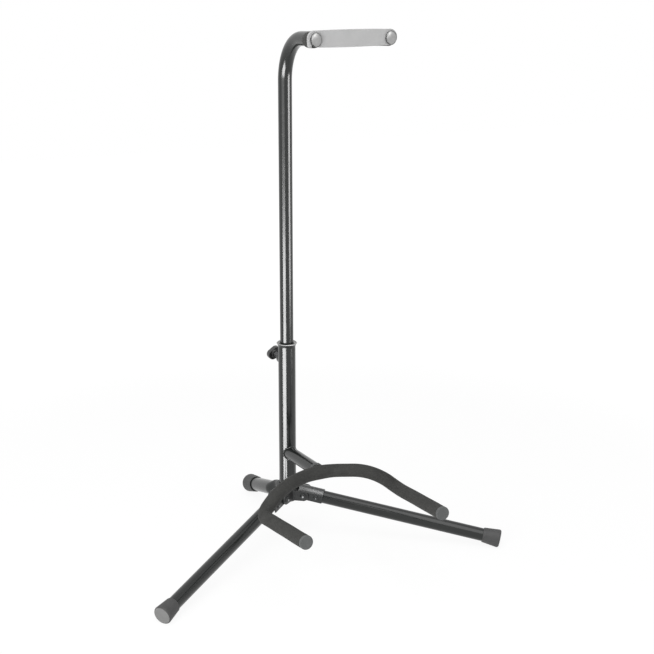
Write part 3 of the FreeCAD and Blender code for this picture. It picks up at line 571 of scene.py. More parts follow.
def lower_tube():
    """The wall turns outwards at the mouth about a ring outside the tube.

    That ring's radius r makes an arc that rises by the mouth's depth d and swells by s: r = (d * d + s * s)
    / (2 * s). The bore follows the same arc one wall further in. Faces of the mouth that look up take bright
    steel, which is a painted highlight on the flare.
    """
    swell = mouth_radius - sleeve_radius
    bend = (mouth_depth ** 2 + swell ** 2) / (2 * swell)
    turn = np.linspace(0, np.arcsin(mouth_depth / bend), 12)
    start = mouth_height - mouth_depth
    outside = np.stack([start + bend * np.sin(turn), sleeve_radius + bend * (1 - np.cos(turn))], 1)
    wide = bend + tube_wall
    bore = np.stack([start + wide * np.sin(turn), sleeve_radius + bend - wide * np.cos(turn)], 1)
    foot = low("lower_tube")[2]
    outline = np.vstack([[[foot, sleeve_radius]], outside, bore[::-1], [[foot, sleeve_radius - tube_wall]]])
    mesh = skin("lower_tube_drawn", turned(column, up_axis, outline), ring=True)
    made = piece(mesh, "lower_tube", tube_enamel, "gloss_black_tube", stud_steel)
    facing = np.empty(len(mesh.polygons) * 3)
    mesh.polygons.foreach_get("normal", facing)
    _, height = face_places(mesh, column, up_axis)
    # Faces of the mouth that look up take bright steel: a painted highlight.
    second_finish(mesh, (facing[2::3] > painted_highlight_slope) & (height > start))
    return made


glossy_pieces.append(lower_tube())

# %% [markdown]
# ## Legs
# A front leg hangs on a pivot at the hub: a pressed bracket, a tube riveted into it, and a rubber foot.
# Each leg has its own line, from the middle of its pivot through the middle of its tube, and everything on
# the leg is placed by distances along that line. The right leg is the same code with another line.

# %% Leg lines
leg_tube_start = 8 * MM
rear_radius = 9 * MM
pivot_height = middle("left_pivot_rivet")[2]


def leg_line(name):
    """Pivot, direction and tube's end of a front leg: the tube's box is centred on its axis."""
    pivot = middle(name + "_pivot_rivet")
    centre = middle(name + "_leg_tube")
    reach = np.linalg.norm(centre - pivot)
    return pivot, (centre - pivot) / reach, 2 * reach - leg_tube_start


def rear_line():
    """The rear leg's line starts on the column's axis and runs through its rivet."""
    start = column + pivot_height * up_axis
    along = unit(middle("rear_leg_rivet") - start)
    end = (high("rear_leg")[1] - start[1] - rear_radius * abs(along[2])) / along[1]
    return start, along, end


for side in ("left", "right"):
    print(side, "leg", leg_line(side)[1].round(4), "tube ends at", round(leg_line(side)[2] / MM, 1), "mm")
print("rear leg", rear_line()[1].round(4), "tube ends at", round(rear_line()[2] / MM, 1), "mm")


# %% Front leg tubes
def leg_tube(name):
    """A straight tube from just outside the pivot to the floor of its foot."""
    pivot, along, end = leg_line(name)
    outline = tube_outline(np.array([leg_tube_start, end]), tube_radius, tube_radius - tube_wall, tube_lip)
    mesh = skin(name + "_leg_tube_drawn", turned(pivot, along, outline), ring=True)
    return piece(mesh, name + "_leg_tube", tube_enamel, "gloss_black_tube")


leg_tube("left")
leg_tube("right")

# %% [markdown]
# ### The rear leg
# The rear leg doesn't fold. Its inner end is pressed flat and riveted upright between two ears of the hub,
# so its section changes from a thin upright bar to a circle. Both sections are drawn with the same number
# of points, and between the two places the points are mixed, with a soft start and end, as the metal flows.

# %% Rear leg
flat_half_thickness = 1.5 * MM
flat_half_height = 12 * MM
flat_end = 34 * MM
round_start = 55 * MM
flow_rows = 25


def smooth_step(x):
    """0 below 0, 1 above 1, and 3 x squared - 2 x cubed between."""
    x = np.clip(x, 0, 1)
    return x * x * (3 - 2 * x)


def rear_leg():
    """Row = flat * (1 - t) + circle * t, where t steps softly from the flat's end to the round's start.

    The flat's half thickness follows the square root of 4 |cos(angle)|, at most 1, so its sides are plane.
    """
    start, along, end = rear_line()
    across, over = square_to(along)
    first = (low("rear_leg")[1] - start[1]) / along[1]
    angle = circle(64)
    thin = np.sign(np.cos(angle)) * np.sqrt(np.minimum(4 * np.abs(np.cos(angle)), 1))
    ring_flat = np.stack([flat_half_thickness * thin, flat_half_height * np.sin(angle)], 1)
    ring_round = rear_radius * np.stack([np.cos(angle), np.sin(angle)], 1)
    flow = np.linspace(flat_end, round_start, flow_rows)
    at = np.concatenate([[first, first, first + tube_lip], flow, [end, end]])
    size = np.concatenate([[0, 0.9, 1], np.ones(flow_rows), [1, 0]])
    t = smooth_step((at - flat_end) / (round_start - flat_end))[:, None, None]
    ring = (ring_flat * (1 - t) + ring_round * t) * size[:, None, None]
    grid = start + at[:, None, None] * along + ring[..., 0, None] * across + ring[..., 1, None] * over
    return piece(skin("rear_leg_drawn", grid), "rear_leg", tube_enamel, "gloss_black_tube")


glossy_pieces.append(rear_leg())

# %% [markdown]
# ### Rubber feet
# A foot is a moulded cap that widens towards its end. Its sole is worn flat where it meets the floor: every
# point that would be under the floor is simply lifted to it, which is just what the rubber does.

# %% Feet
foot_floor = 5 * MM
painted_light_inset = 1.1 * MM
foot_rounding = 2.5 * MM
foot_lip = 0.6 * MM
foot_gap = 0.05 * MM
front_foot_length = 21.5 * MM
front_foot_mouth = 9.0 * MM
front_foot_end = 11.3 * MM
rear_foot_length = 25 * MM
rear_foot_mouth = 10.3 * MM
rear_foot_end = 12 * MM


def foot(name, line, foot_length, radius, mouth_radius, end_radius):
    """Turn the cap's outline: up the taper, round the end, and back along the bore that the tube fills.

    The middle of the end is paler, which is painted light on the end face: the faces there within a radius of the
    line.
    """
    start, along, tube_end = line
    end = tube_end + foot_floor
    mouth = end - foot_length
    bore = radius + foot_gap
    outline = rounded([[mouth, bore], [mouth, mouth_radius], [end, end_radius], [end, 0]],
                      [foot_lip, foot_rounding], steps=10)
    face = np.linspace(1, 0, 6)[:, None] * (outline[-2] - outline[-1]) + outline[-1]
    outline = np.vstack([outline[:-2], face, [[tube_end, 0]], [[tube_end, bore]]])
    grid = turned(start, along, outline)
    grid[..., 2] = np.maximum(grid[..., 2], 0)
    mesh = skin(name + "_moulded", grid, ring=True)
    made = piece(mesh, name, foot_rubber, "foot_rubber", painted_light_rubber)
    away, distance = face_places(mesh, start, along)
    # The paler middle of the end is painted light.
    second_finish(mesh, (distance > end - foot_floor / 2) & (away < end_radius - painted_light_inset))
    return made


for side in ("left", "right"):
    foot(side + "_foot", leg_line(side), front_foot_length, tube_radius, front_foot_mouth, front_foot_end)
foot("rear_foot", rear_line(), rear_foot_length, rear_radius, rear_foot_mouth, rear_foot_end)

# %% [markdown]
# ### Leg brackets
# The bracket is a strip of sheet steel pressed to an inverted U with a half round top. A single sheet of
# points follows the outside of the U, and the Solidify and Bevel modifiers give it its gauge and its broken
# edges, which is how sheet metal is best drawn: the thickness is then the same everywhere.

# %% Brackets
bracket_radius = 9.6 * MM
bracket_wall = 1.5 * MM
bracket_edge = 0.4 * MM
bracket_skirt = 5.5 * MM
bracket_heel = 8 * MM
bracket_end = 24 * MM


def bracket(name):
    """Columns run from one skirt over the top to the other, and rows from the heel to the leg's end.

    The heel is square above the pivot, and below it follows a circle about the pivot.
    """
    pivot, along, _ = leg_line(name)
    across, over = square_to(along)
    angle = np.linspace(0, np.pi, 33)
    drop = np.linspace(1, 0, 9)[:-1] * bracket_skirt
    side = np.full(8, bracket_radius)
    y = np.concatenate([side, bracket_radius * np.cos(angle), -side])
    z = np.concatenate([-drop, bracket_radius * np.sin(angle), -drop[::-1]])
    heel = -np.sqrt(bracket_heel ** 2 - np.minimum(z, 0) ** 2)
    share = np.linspace(0, 1, 25)[:, None]
    x = heel * (1 - share) + bracket_end * share
    grid = (pivot + x[..., None] * along + y[None, :, None] * across
            + np.broadcast_to(z, x.shape)[..., None] * over)
    rows, columns = x.shape
    index = np.arange(rows * columns).reshape(rows, columns)
    quads = np.stack([index[:-1, :-1], index[:-1, 1:], index[1:, 1:], index[1:, :-1]], -1).reshape(-1, 4)
    mesh = new_mesh(name + "_bracket_pressed", grid, quads)
    mesh.shade_smooth()
    made = piece(mesh, name + "_leg_bracket", bracket_enamel, "black_steel")
    return thicken(made, bracket_wall, bracket_edge, segments=3)


bracket_pieces = [bracket("left"), bracket("right")]

# %% [markdown]
# ## The hub
# The hub is a casting with ears for the three legs. Its shape is already right in the model, but a
# casting has no sharp edges. A copy of its mesh is merged and rebuilt from small even cells, and a few
# rounds of smoothing then soften every edge alike, as a mould does.

# %% Soften a casting
hub_cell = 0.4 * MM
hub_smoothing = 6


def softened(node_name, name, cell, rounds):
    """Copy a node's mesh, rebuild it in cells of a size, and smooth it."""
    mesh = merged_copy(node_name, name)
    holder = bpy.data.objects.new(name, mesh)
    bpy.context.scene.collection.objects.link(holder)
    remesh = holder.modifiers.new("cells", "REMESH")
    remesh.mode = "VOXEL"
    remesh.voxel_size = cell
    smooth = holder.modifiers.new("smooth", "SMOOTH")
    smooth.factor = 0.5
    smooth.iterations = rounds
    evaluated = holder.evaluated_get(bpy.context.evaluated_depsgraph_get())
    result = bpy.data.meshes.new_from_object(evaluated)
    result.name = name
    bpy.data.objects.remove(holder)
    result.shade_smooth()
    return result


def merged_copy(node_name, name):
    """A merged copy of a node's mesh. The node itself is left alone."""
    mesh = frame["nodes"][node_name].data.copy()
    mesh.name = name
    mesh.materials.clear()
    return outwards(mesh)


piece(softened("hub", "hub_cast", hub_cell, hub_smoothing), "hub", cast_black, "hub_casting")

# %% [markdown]
# ## Rivets
# A rivet's head is a low dome, painted with the stand, with a flat struck end. A spot of bare zinc in the
# middle of each head is a painted highlight. The dome and the spot are one turned outline, and the faces near
# its axis take the second material.

# %% Rivets
leg_rivet_radius = 2 * MM
leg_rivet_head = (3.5 * MM, 1.5 * MM)
leg_rivet_highlight = 0.6 * MM
pivot_rivet_radius = 3 * MM
pivot_rivet_head = (4 * MM, 2.2 * MM)
pivot_rivet_highlight = 1.2 * MM
struck_height = 0.15 * MM


def rivet(name, node_name, shank, head, highlight_radius):
    """A shank with a domed head at each end, turned about the level line that is square to its leg.

    The head's height at a radius is h * sqrt(1 - (r / R) squared), lowered to a flat struck end.
    """
    centre = middle(node_name)
    line = unit(np.cross(up_axis, rivet_leg(node_name)))
    radius, height = head
    half = span(node_name, line) / 2
    turn = np.linspace(0, np.pi / 2, 13)
    dome = np.stack([half - height + height * np.sin(turn), radius * np.cos(turn)], 1)
    dome[:, 0] = np.minimum(dome[:, 0], half - struck_height)
    struck = np.array([[half - struck_height, highlight_radius], [half, highlight_radius * 0.8], [half, 0]])
    dome = dome[dome[:, 1] > highlight_radius * 1.05]
    outline = np.vstack([[[half - height, shank]], [[half - height, radius * 0.98]], dome, struck])
    mirrored = outline[::-1] * [-1, 1]
    grid = turned(centre, line, np.vstack([mirrored, outline]), steps=48)
    mesh = skin(name, grid)
    made = piece(mesh, node_name, bracket_enamel, "zinc_steel", rivet_steel)
    away, _ = face_places(mesh, centre, line)
    # The bare zinc near the axis is a painted highlight on the head.
    second_finish(mesh, away < highlight_radius)
    return made


def span(node_name, line):
    """How long a node is along a line."""
    vertices = frame["nodes"][node_name].data.vertices
    points = np.empty(len(vertices) * 3)
    vertices.foreach_get("co", points)
    along = points.reshape(-1, 3) @ line
    return along.max() - along.min()


def rivet_leg(node_name):
    """Direction of the leg that a rivet goes through."""
    return rear_line()[1] if node_name.startswith("rear") else leg_line(node_name.split("_")[0])[1]


for side in ("left", "right"):
    rivet(side + "_pivot_rivet_struck", side + "_pivot_rivet", pivot_rivet_radius, pivot_rivet_head,
          pivot_rivet_highlight)
    rivet(side + "_leg_rivet_struck", side + "_leg_rivet", leg_rivet_radius, leg_rivet_head, leg_rivet_highlight)
rivet("rear_rivet_struck", "rear_leg_rivet", leg_rivet_radius, leg_rivet_head, leg_rivet_highlight)

# %% [markdown]
# ## The support arm and its welds
# The arm is welded to the column at an angle. Its end is cut to a saddle, which is found by sliding each
# point of the ring along the arm until it meets the column: one square root for the whole ring at once. The
# weld is a bead carried along the same saddle, and its radius rises and falls as the welder's hand moved.

# %% Meeting the column
arm_height = 106 * MM
arm_overlap = 5 * MM
saddle_bite = 0.4 * MM
arm_root = column + arm_height * up_axis
arm_along = unit(middle("arm_collar") - arm_root)
collar_distance = np.linalg.norm(middle("arm_collar") - arm_root)


def meet_column(points, along, radius):
    """Slide points along a line until they are a radius from the column's axis.

    With p and d the level parts of point and direction, t solves |p + t d| = radius.
    """
    p = (points - column)[..., :2]
    d = np.asarray(along)[:2]
    a, b, c = d @ d, p @ d, (p * p).sum(-1) - radius ** 2
    t = (-b + np.sqrt(np.maximum(b * b - a * c, 0))) / a
    return points + t[..., None] * along


def support_arm():
    """A tube from the column's wall to just inside the foam."""
    reach = collar_distance + arm_overlap
    inner = tube_radius - tube_wall
    outline = [[0, tube_radius], [reach - tube_lip, tube_radius], [reach, tube_radius - tube_lip],
               [reach, inner], [0, inner]]
    grid = turned(arm_root, arm_along, outline)
    grid[[0, -1]] = meet_column(grid[[0, -1]], arm_along, sleeve_radius - saddle_bite)
    return piece(skin("support_arm_drawn", grid, ring=True), "support_arm", tube_enamel, "gloss_black_tube")


support_arm()


# %% Weld beads
def bead(line, size, waves, wobble):
    """A bead round a closed line: its radius is size * (1 + wobble * sin(waves * angle)) with a drift."""
    along = unit(np.roll(line, -1, 0) - np.roll(line, 1, 0))
    middle_point = line.mean(0)
    outward = unit(line - middle_point)
    outward = unit(outward - (outward * along).sum(1, keepdims=True) * along)
    other = np.cross(along, outward)
    turn = circle(len(line))
    radius = size * (1 + wobble * np.sin(waves * turn) + 0.5 * wobble * np.sin(3 * turn + 1.0))
    angle = circle(12)
    return (line[:, None] + (radius[:, None] * np.cos(angle))[..., None] * outward[:, None]
            + (radius[:, None] * np.sin(angle))[..., None] * other[:, None])


def saddle_bead(place, along, radius, lift, size, wobble):
    """A bead along the saddle where a round piece meets the column, lifted a little off its wall."""
    ring = turned(place, along, [[0, radius]], steps=240)[0]
    return bead(meet_column(ring, along, sleeve_radius + lift), size, 22, wobble)


def root_weld():
    """The bead between the arm and the column."""
    grid = saddle_bead(arm_root, arm_along, tube_radius + 0.3 * MM, 0.2 * MM, 1.0 * MM, 0.3)
    return piece(skin("arm_weld_bead", grid, ring=True), "arm_root_weld", tube_enamel, "weld")


def collar():
    """The crimped end of the arm: a rough ring, swollen unevenly by two sets of waves."""
    first = collar_distance - 2 * MM
    at = np.array([0, 0.2, 0.8, 1.8, 2.8, 3.6, 4.0]) * MM + first
    lift = np.array([0.1, 0.55, 0.8, 0.75, 0.8, 0.5, 0.1]) * MM
    inner = tube_radius - 0.2 * MM
    outline = np.vstack([np.stack([at, tube_radius + lift], 1), [[at[-1], inner], [at[0], inner]]])
    grid = turned(arm_root, arm_along, outline, steps=120)
    turn = circle(120)
    wave = 0.12 * MM * (np.sin(17 * turn) + np.sin(11 * turn + 2.0))
    away = grid - (arm_root + ((grid - arm_root) @ arm_along)[..., None] * arm_along)
    weight = np.zeros(len(outline))
    weight[1:6] = 1
    grid = grid + unit(away) * (wave[None] * weight[:, None])[..., None]
    return piece(skin("arm_collar_crimped", grid, ring=True), "arm_collar", crimped_steel, "weld")


def yoke_weld():
    """A bead round the upper tube where it enters the sleeve."""
    place = middle("yoke_weld")
    ring = turned(place, forward, [[0, tube_radius + 0.1 * MM]], steps=180)[0]
    mesh = skin("yoke_weld_bead", bead(ring, 0.7 * MM, 20, 0.15), ring=True)
    return piece(mesh, "yoke_weld", bracket_enamel, "weld")


glossy_pieces.append(root_weld())
collar()
yoke_weld()

# %% [markdown]
# ## Foam sleeves
# Foam tube is pushed over the cradle's rod and the yoke's ring. It is a soft piece, so it is never a perfect
# cylinder: it bulges a little along and round its length, and is stretched over the joint in its middle.
# Those are small changes of radius along and round the path. No cloth is simulated for them, because this
# foam is stiff and fits tightly on its rod.

# %% Cradle foam
foam_radius = 7.8 * MM
cradle_rod_radius = 4 * MM
cradle_corners = np.array([[82.6, -240.6, 109.0], [87.2, -127.8, 91.7], [59.4, -117.8, 116.3]]) * MM
cradle_middle = np.array([[0, -88.1, 115.1]]) * MM
cradle_radii = np.array([13.7, 67.9, 60, 67.9, 13.7]) * MM
cap_thickness = 3 * MM
foam_gap = 0.05 * MM
foam_step = 2 * MM
foam_lip = 1.0 * MM
swelling_reach = 11 * MM


def foam_sleeve(name, node_name, grid):
    """Skin a grid as a piece of foam."""
    made = piece(skin(name, grid, ring=True), node_name, black_foam, "foam")
    return made


def arm_swelling(distance, total):
    """A bell curve about the middle of a sleeve, where its foam is stretched over the joint."""
    return np.exp(-((distance - total / 2) / swelling_reach) ** 2)


def cradle_path():
    """The corners of the left half, the middle of the arch, and the corners of the right half."""
    left = cradle_corners * [-1, 1, 1]
    return rounded(np.vstack([left, cradle_middle, cradle_corners[::-1]]) + column, cradle_radii, steps=24)


def cradle_foam():
    """Radius = foam radius + slow waves along and round + a swelling over the arm's end."""
    path = cradle_path()
    total = lengths(path)[-1]
    near = cap_thickness + foam_gap
    at = spread(path, foam_step)
    at = np.concatenate([[near], at[(at > near) & (at < total - near)], [total - near]])

    def swell(distance, angle):
        waves = np.sin(distance / (7 * MM) + 2 * np.sin(angle)) + np.sin(distance / (17 * MM) - angle)
        return 0.06 * MM * waves + 0.5 * MM * arm_swelling(distance, total)

    outline = tube_outline(at, foam_radius, cradle_rod_radius + foam_gap, foam_lip)
    return foam_sleeve("cradle_foam_sleeve", "cradle_foam", carried(path, outline, swell=swell))


cradle_foam()


# %% Cradle caps
def cradle_cap(name, inner, tip):
    """A flat rubber disc at the foam's end, with rounded edges and a shallow dish."""
    along = unit(tip - inner)
    outline = rounded([[-cap_thickness, 0], [-cap_thickness, foam_radius], [0, foam_radius], [0, 0]],
                      [0.4 * MM, 1.0 * MM], steps=6)
    face = np.linspace(1, 0, 6)[1:, None] * outline[-2]
    face[:, 0] = -0.25 * MM * smooth_step((1 - face[:, 1] / outline[-2, 1]) * 2)
    outline = np.vstack([outline[:-1], face])
    mesh = skin(name + "_cradle_cap_moulded", turned(tip, along, outline))
    return piece(mesh, name + "_cradle_cap", cap_rubber, "foam_cap")


right_corners = cradle_corners + column
left_corners = cradle_corners * [-1, 1, 1] + column
cradle_cap("right", right_corners[1], right_corners[0])
cradle_cap("left", left_corners[1], left_corners[0])

# %% Yoke sleeve
yoke_radius = middle("right_gate_stud")[0]
yoke_centre_ahead = yoke_back_ahead + yoke_radius
prong = 1.5 * MM
yoke_sleeve_radius = 8 * MM
yoke_sleeve_lip = 0.8 * MM


def yoke_sleeve():
    """A half ring with short prongs, skinned like the cradle's foam."""
    turn = np.linspace(np.pi, 0, 49)
    tip = yoke_centre_ahead + prong
    ring = on_neck(yoke_radius * np.cos(turn), yoke_centre_ahead - yoke_radius * np.sin(turn), 0.0)
    path = np.vstack([[on_neck(-yoke_radius, tip, 0.0)], ring, [on_neck(yoke_radius, tip, 0.0)]])
    total = lengths(path)[-1]

    def swell(distance, angle):
        waves = np.sin(distance / (6 * MM) + 2 * np.sin(angle))
        return 0.03 * MM * waves + 0.4 * MM * arm_swelling(distance, total)

    outline = tube_outline(spread(path, foam_step), yoke_sleeve_radius, rod_radius + foam_gap,
                           yoke_sleeve_lip)
    grid = carried(path, outline, hint=neck_up, swell=swell)
    return foam_sleeve("yoke_foam_sleeve", "yoke_sleeve", grid)


yoke_sleeve()

# %% [markdown]
# ## The strap and its studs
# The strap is a flat rubber moulding. It turns on the right stud, and a hook at its left end drops over the
# left one. Its outline is eight corners with radii. The face inside it is one polygon, Solidify gives the
# strap its thickness and Bevel the soft edges of the mould.

# %% Strap
strap_thickness = 3 * MM
strap_edge = 0.7 * MM
strap_step = 1.0 * MM
strap_end_half = 8 * MM
strap_end_rise = 1 * MM
strap_crown = 0.5 * MM
hook_height = 9.3 * MM
hook_reach = 8.3 * MM
hook_drop = 7.4 * MM
slot_half = 3.85 * MM
slot_seat = 3.05 * MM


def strap():
    """Corners (x, above) about the neck's line, anticlockwise seen from the front, each with its radius."""
    left = -yoke_radius
    far = yoke_radius + strap_end_half
    edge = left + slot_half
    top = strap_end_rise + strap_end_half
    bottom = strap_end_rise - strap_end_half
    corners = np.array([
        [edge, -hook_drop], [far, bottom], [far, top], [left - hook_reach, hook_height],
        [left - hook_reach, -hook_drop], [left - slot_half, -hook_drop], [left - slot_half, slot_seat],
        [edge, slot_seat],
    ])
    radii = np.array([1.0, 7.9, 7.9, 7.5, 2.6, 0.8, 3.8, 3.8]) * MM
    outline = rounded(corners, radii, steps=10, closed=True)
    closed = np.vstack([outline, outline[:1]])
    at = spread(closed, strap_step)[:-1]
    outline = np.stack([np.interp(at, lengths(closed), closed[:, k]) for k in range(2)], axis=1)
    inner = np.abs(outline[:, 0]) < yoke_radius * 0.9
    bow = strap_crown * np.clip(1 - (outline[:, 0] / (yoke_radius * 0.9)) ** 2, 0, 1)
    outline[:, 1] += bow * np.sign(outline[:, 1]) * inner
    count = len(outline)
    points = on_neck(outline[:, 0], strap_back_ahead + strap_thickness, outline[:, 1])
    mesh = new_mesh("neck_strap_moulded", points, [list(range(count))])
    made = piece(mesh, "neck_gate", strap_rubber, "gate_rubber")
    return thicken(made, strap_thickness, strap_edge, segments=4)


strap()

# %% Studs
stud_half_sizes = np.array([6, 7]) * MM
stud_dome_share = 0.88
stud_collar = 1.9 * MM
stud_height = 4 * MM
stud_shank_radius = 3 * MM
stud_root_radius = 2.5 * MM
stud_root_length = 12 * MM
stud_gap = 0.3 * MM


def stud(name):
    """An oval dark collar, partly painted shade, under a bare dome: height over the collar = rise * sqrt(1 - r
    squared).
    """
    x = middle(name + "_gate_stud")[0]
    head_back = strap_back_ahead + strap_thickness + stud_gap
    turn = np.linspace(0, np.pi / 2, 17)
    collar_rows = [[0, 0], [0, 0.95], [0.3 * MM, 1.0], [stud_collar - 0.3 * MM, 1.0], [stud_collar, 0.95],
                   [stud_collar, stud_dome_share]]
    dome = np.stack([stud_collar + (stud_height - stud_collar) * np.sin(turn),
                     stud_dome_share * np.cos(turn)], 1)
    outline = np.vstack([collar_rows, dome])
    angle = circle(64)
    head = on_neck(x + stud_half_sizes[0] * outline[:, 1, None] * np.cos(angle),
                   head_back + outline[:, 0, None],
                   stud_half_sizes[1] * outline[:, 1, None] * np.sin(angle))
    tip = yoke_centre_ahead + prong
    inside = head_back + stud_collar / 2
    reach = np.array([[tip - stud_root_length, 0], [tip - stud_root_length, stud_root_radius],
                      [tip, stud_root_radius], [tip, stud_shank_radius],
                      [inside, stud_shank_radius], [inside, 0]])
    shank = turned(on_neck(x, 0.0, 0.0), forward, reach, steps=32)
    mesh = skin(name + "_stud_domed", head, shank)
    # The collar's dark enamel is partly painted shade in the gap round the head.
    made = piece(mesh, name + "_gate_stud", bracket_enamel, "bright_steel", stud_steel)
    _, ahead = face_places(mesh, neck_corner, forward)
    second_finish(mesh, ahead > head_back + stud_collar)
    return made


stud("left")
stud("right")

# %% [markdown]
# ## The clamp
# A wing knob turns a threaded screw in a boss at the back of the column, and the screw's tip presses on the
# upper tube. The thread is real geometry: a turned surface whose radius depends on the distance along it
# less the angle round it, so that the crest climbs one pitch each turn.

# %% Boss and screw
clamp_place = middle("clamp_boss")
clamp_height = clamp_place[2]
screw_radius = 4 * MM
screw_pitch = 1.25 * MM
thread_depth = 0.55 * MM
thread_end = 4.5 * MM
thread_start = 1.5 * MM
thread_gap = 0.05 * MM
crest_gap = 0.03 * MM
boss_edge = 0.3 * MM
boss_chamfer = 1.0 * MM
boss_countersink = 0.4 * MM
back_axis = np.array([0, 1.0, 0])


def clamp_boss():
    """A short thick tube whose inner end is a saddle on the column."""
    place = column + clamp_height * up_axis
    end = high("clamp_boss")[1] - column[1]
    outer = (high("clamp_boss") - low("clamp_boss"))[2] / 2
    bore = screw_radius + thread_gap
    outline = [[0, outer], [end - boss_chamfer, outer], [end - boss_edge, outer - boss_edge],
               [end, outer - boss_chamfer], [end, screw_radius + boss_countersink],
               [end - boss_countersink, bore], [0, bore]]
    grid = turned(place, back_axis, outline)
    grid[[0, -1]] = meet_column(grid[[0, -1]], back_axis, sleeve_radius - saddle_bite)
    weld = saddle_bead(place, back_axis, outer + 0.2 * MM, 0.1 * MM, 0.9 * MM, 0.14)
    mesh = skin("clamp_boss_welded", grid, weld, ring=True)
    return piece(mesh, "clamp_boss", bracket_enamel, "black_steel")


def clamp_screw():
    """Radius = crest - depth * |2 * fraction((distance / pitch) - (angle / turn)) - 1|, plain at its tip."""
    first = low("clamp_screw")[1] - column[1]
    last = high("clamp_screw")[1] - column[1] - thread_end
    at = np.linspace(first, last, int((last - first) / (screw_pitch / 10)))
    grid = turned(column + clamp_height * up_axis, back_axis, np.stack([at, np.ones(len(at))], 1), steps=40)
    phase = at[:, None] / screw_pitch - circle(40)[None] / (2 * np.pi)
    ease = smooth_step((at - first) / thread_start)[:, None]
    radius = screw_radius - crest_gap - thread_depth * np.abs(2 * (phase % 1) - 1) * ease
    centre = grid.mean(1, keepdims=True)
    grid = centre + (grid - centre) * radius[..., None]
    grid = np.concatenate([np.broadcast_to(centre[:1], grid[:1].shape), grid,
                           np.broadcast_to(centre[-1:], grid[:1].shape)])
    return piece(skin("clamp_screw_threaded", grid), "clamp_screw", screw_steel, "zinc_steel")


clamp_boss()
clamp_screw()

# %% [markdown]
# ### Wing knob
# The knob is a flat wing with round ends, dished towards the screw, with a collar in its middle. Every row
# of its grid is the same stadium, only further in or out, so one profile of (inset, distance) pairs makes
# the rim, the dish and the back.

# %% Knob
knob_front = 36 * MM
knob_depth = 9 * MM
wing_radius = 5.9 * MM
wing_reach = 3.4 * MM
wing_rise = 35
knob_rim = 1.6 * MM
knob_dish = 1.5 * MM
knob_collar = (4.1 * MM, 5.5 * MM)
knob_collar_length = 4 * MM
knob_collar_sink = 0.5 * MM
knob_collar_edge = 0.5 * MM


def stadium_rows(profile, angle):
    """Rows of a stadium: (reach * sign(cos) + radius * cos, radius * sin), radius less the row's inset."""
    profile = np.asarray(profile)
    radius = (wing_radius - profile[:, 0])[:, None]
    x = wing_reach * np.sign(np.cos(angle)) + radius * np.cos(angle)
    z = radius * np.sin(angle)
    return x, np.broadcast_to(profile[:, 1, None], x.shape), z


def wing_knob():
    """The wing lies at a slant, and its left end points down seen from the front."""
    front, back = knob_front, knob_front + knob_depth
    corners = [[wing_radius, front + knob_dish], [knob_rim, front + knob_dish], [knob_rim, front], [0, front],
               [0, back], [wing_radius, back]]
    profile = rounded(corners, np.array([0.6, 0.5, 0.7, 2.2]) * MM, steps=6)
    angle = circle(64) + np.pi / 64
    x, y, z = stadium_rows(profile, angle)
    tip = np.radians(wing_rise)
    across = np.array([np.cos(tip), 0, np.sin(tip)])
    over = np.array([-np.sin(tip), 0, np.cos(tip)])
    place = column + clamp_height * up_axis
    wing = place + x[..., None] * across + y[..., None] * back_axis + z[..., None] * over
    bore, outer = knob_collar
    sunk = front + knob_dish + knob_collar_sink
    tip_of_collar = front - knob_collar_length
    collar_outline = rounded([[sunk, outer], [tip_of_collar, outer], [tip_of_collar, bore], [sunk, bore]],
                             knob_collar_edge, steps=4)
    mesh = skin("wing_knob_moulded", wing)
    ring_mesh = skin("knob_collar", turned(place, back_axis, collar_outline), ring=True)
    work = bmesh.new()
    work.from_mesh(mesh)
    work.from_mesh(ring_mesh)
    work.to_mesh(mesh)
    work.free()
    mesh.shade_smooth()
    return piece(mesh, "wing_knob", plastic_black, "black_plastic")


wing_knob()

# %% [markdown]
# ## Pieces that keep their own shape
# Washers, plugs, the mouth's bush and the bent rods inside the foam are right as they are. They only need a
# finish. The bush is pale nylon, black within a radius of the column's axis as painted shade round the upper
# tube, so its colour depends on the distance from the column's axis.

# %% The bush's nylon
painted_shade_radius = 9.4 * MM


def nylon_bush():
    """Pale natural nylon, and black within a radius of the column's axis: painted shade round the upper tube."""
    material, tree, place = new_finish("pale_nylon_with_painted_shade_ring")
    offset = node(tree, "ShaderNodeVectorMath", {0: place, 1: column}, operation="SUBTRACT")
    flat = node(tree, "ShaderNodeVectorMath", {0: offset.outputs[0], 1: (1, 1, 0)}, operation="MULTIPLY")
    away = node(tree, "ShaderNodeVectorMath", {0: flat.outputs[0]}, operation="LENGTH")
    pale = node(tree, "ShaderNodeMath", {0: away.outputs["Value"], 1: painted_shade_radius}, operation="GREATER_THAN")
    cloud = node(tree, "ShaderNodeTexNoise", {"Vector": place, "Scale": 1 / (6 * MM), "Detail": 3.0})
    nylon = node(tree, "ShaderNodeMix", {0: cloud.outputs["Fac"], 6: linear("cfcfca"), 7: linear("dededa")},
                 data_type="RGBA")
    # Black within the radius is painted shade where the upper tube goes into the bush.
    colour = node(tree, "ShaderNodeMix", {0: pale.outputs[0], 6: linear("121212"), 7: nylon.outputs[2]},
                  data_type="RGBA")
    shader = node(tree, "ShaderNodeBsdfPrincipled", {
        "Base Color": colour.outputs[2], "Roughness": 0.4, "IOR": 1.5})
    node(tree, "ShaderNodeOutputMaterial", {"Surface": shader.outputs[0]})
    return material


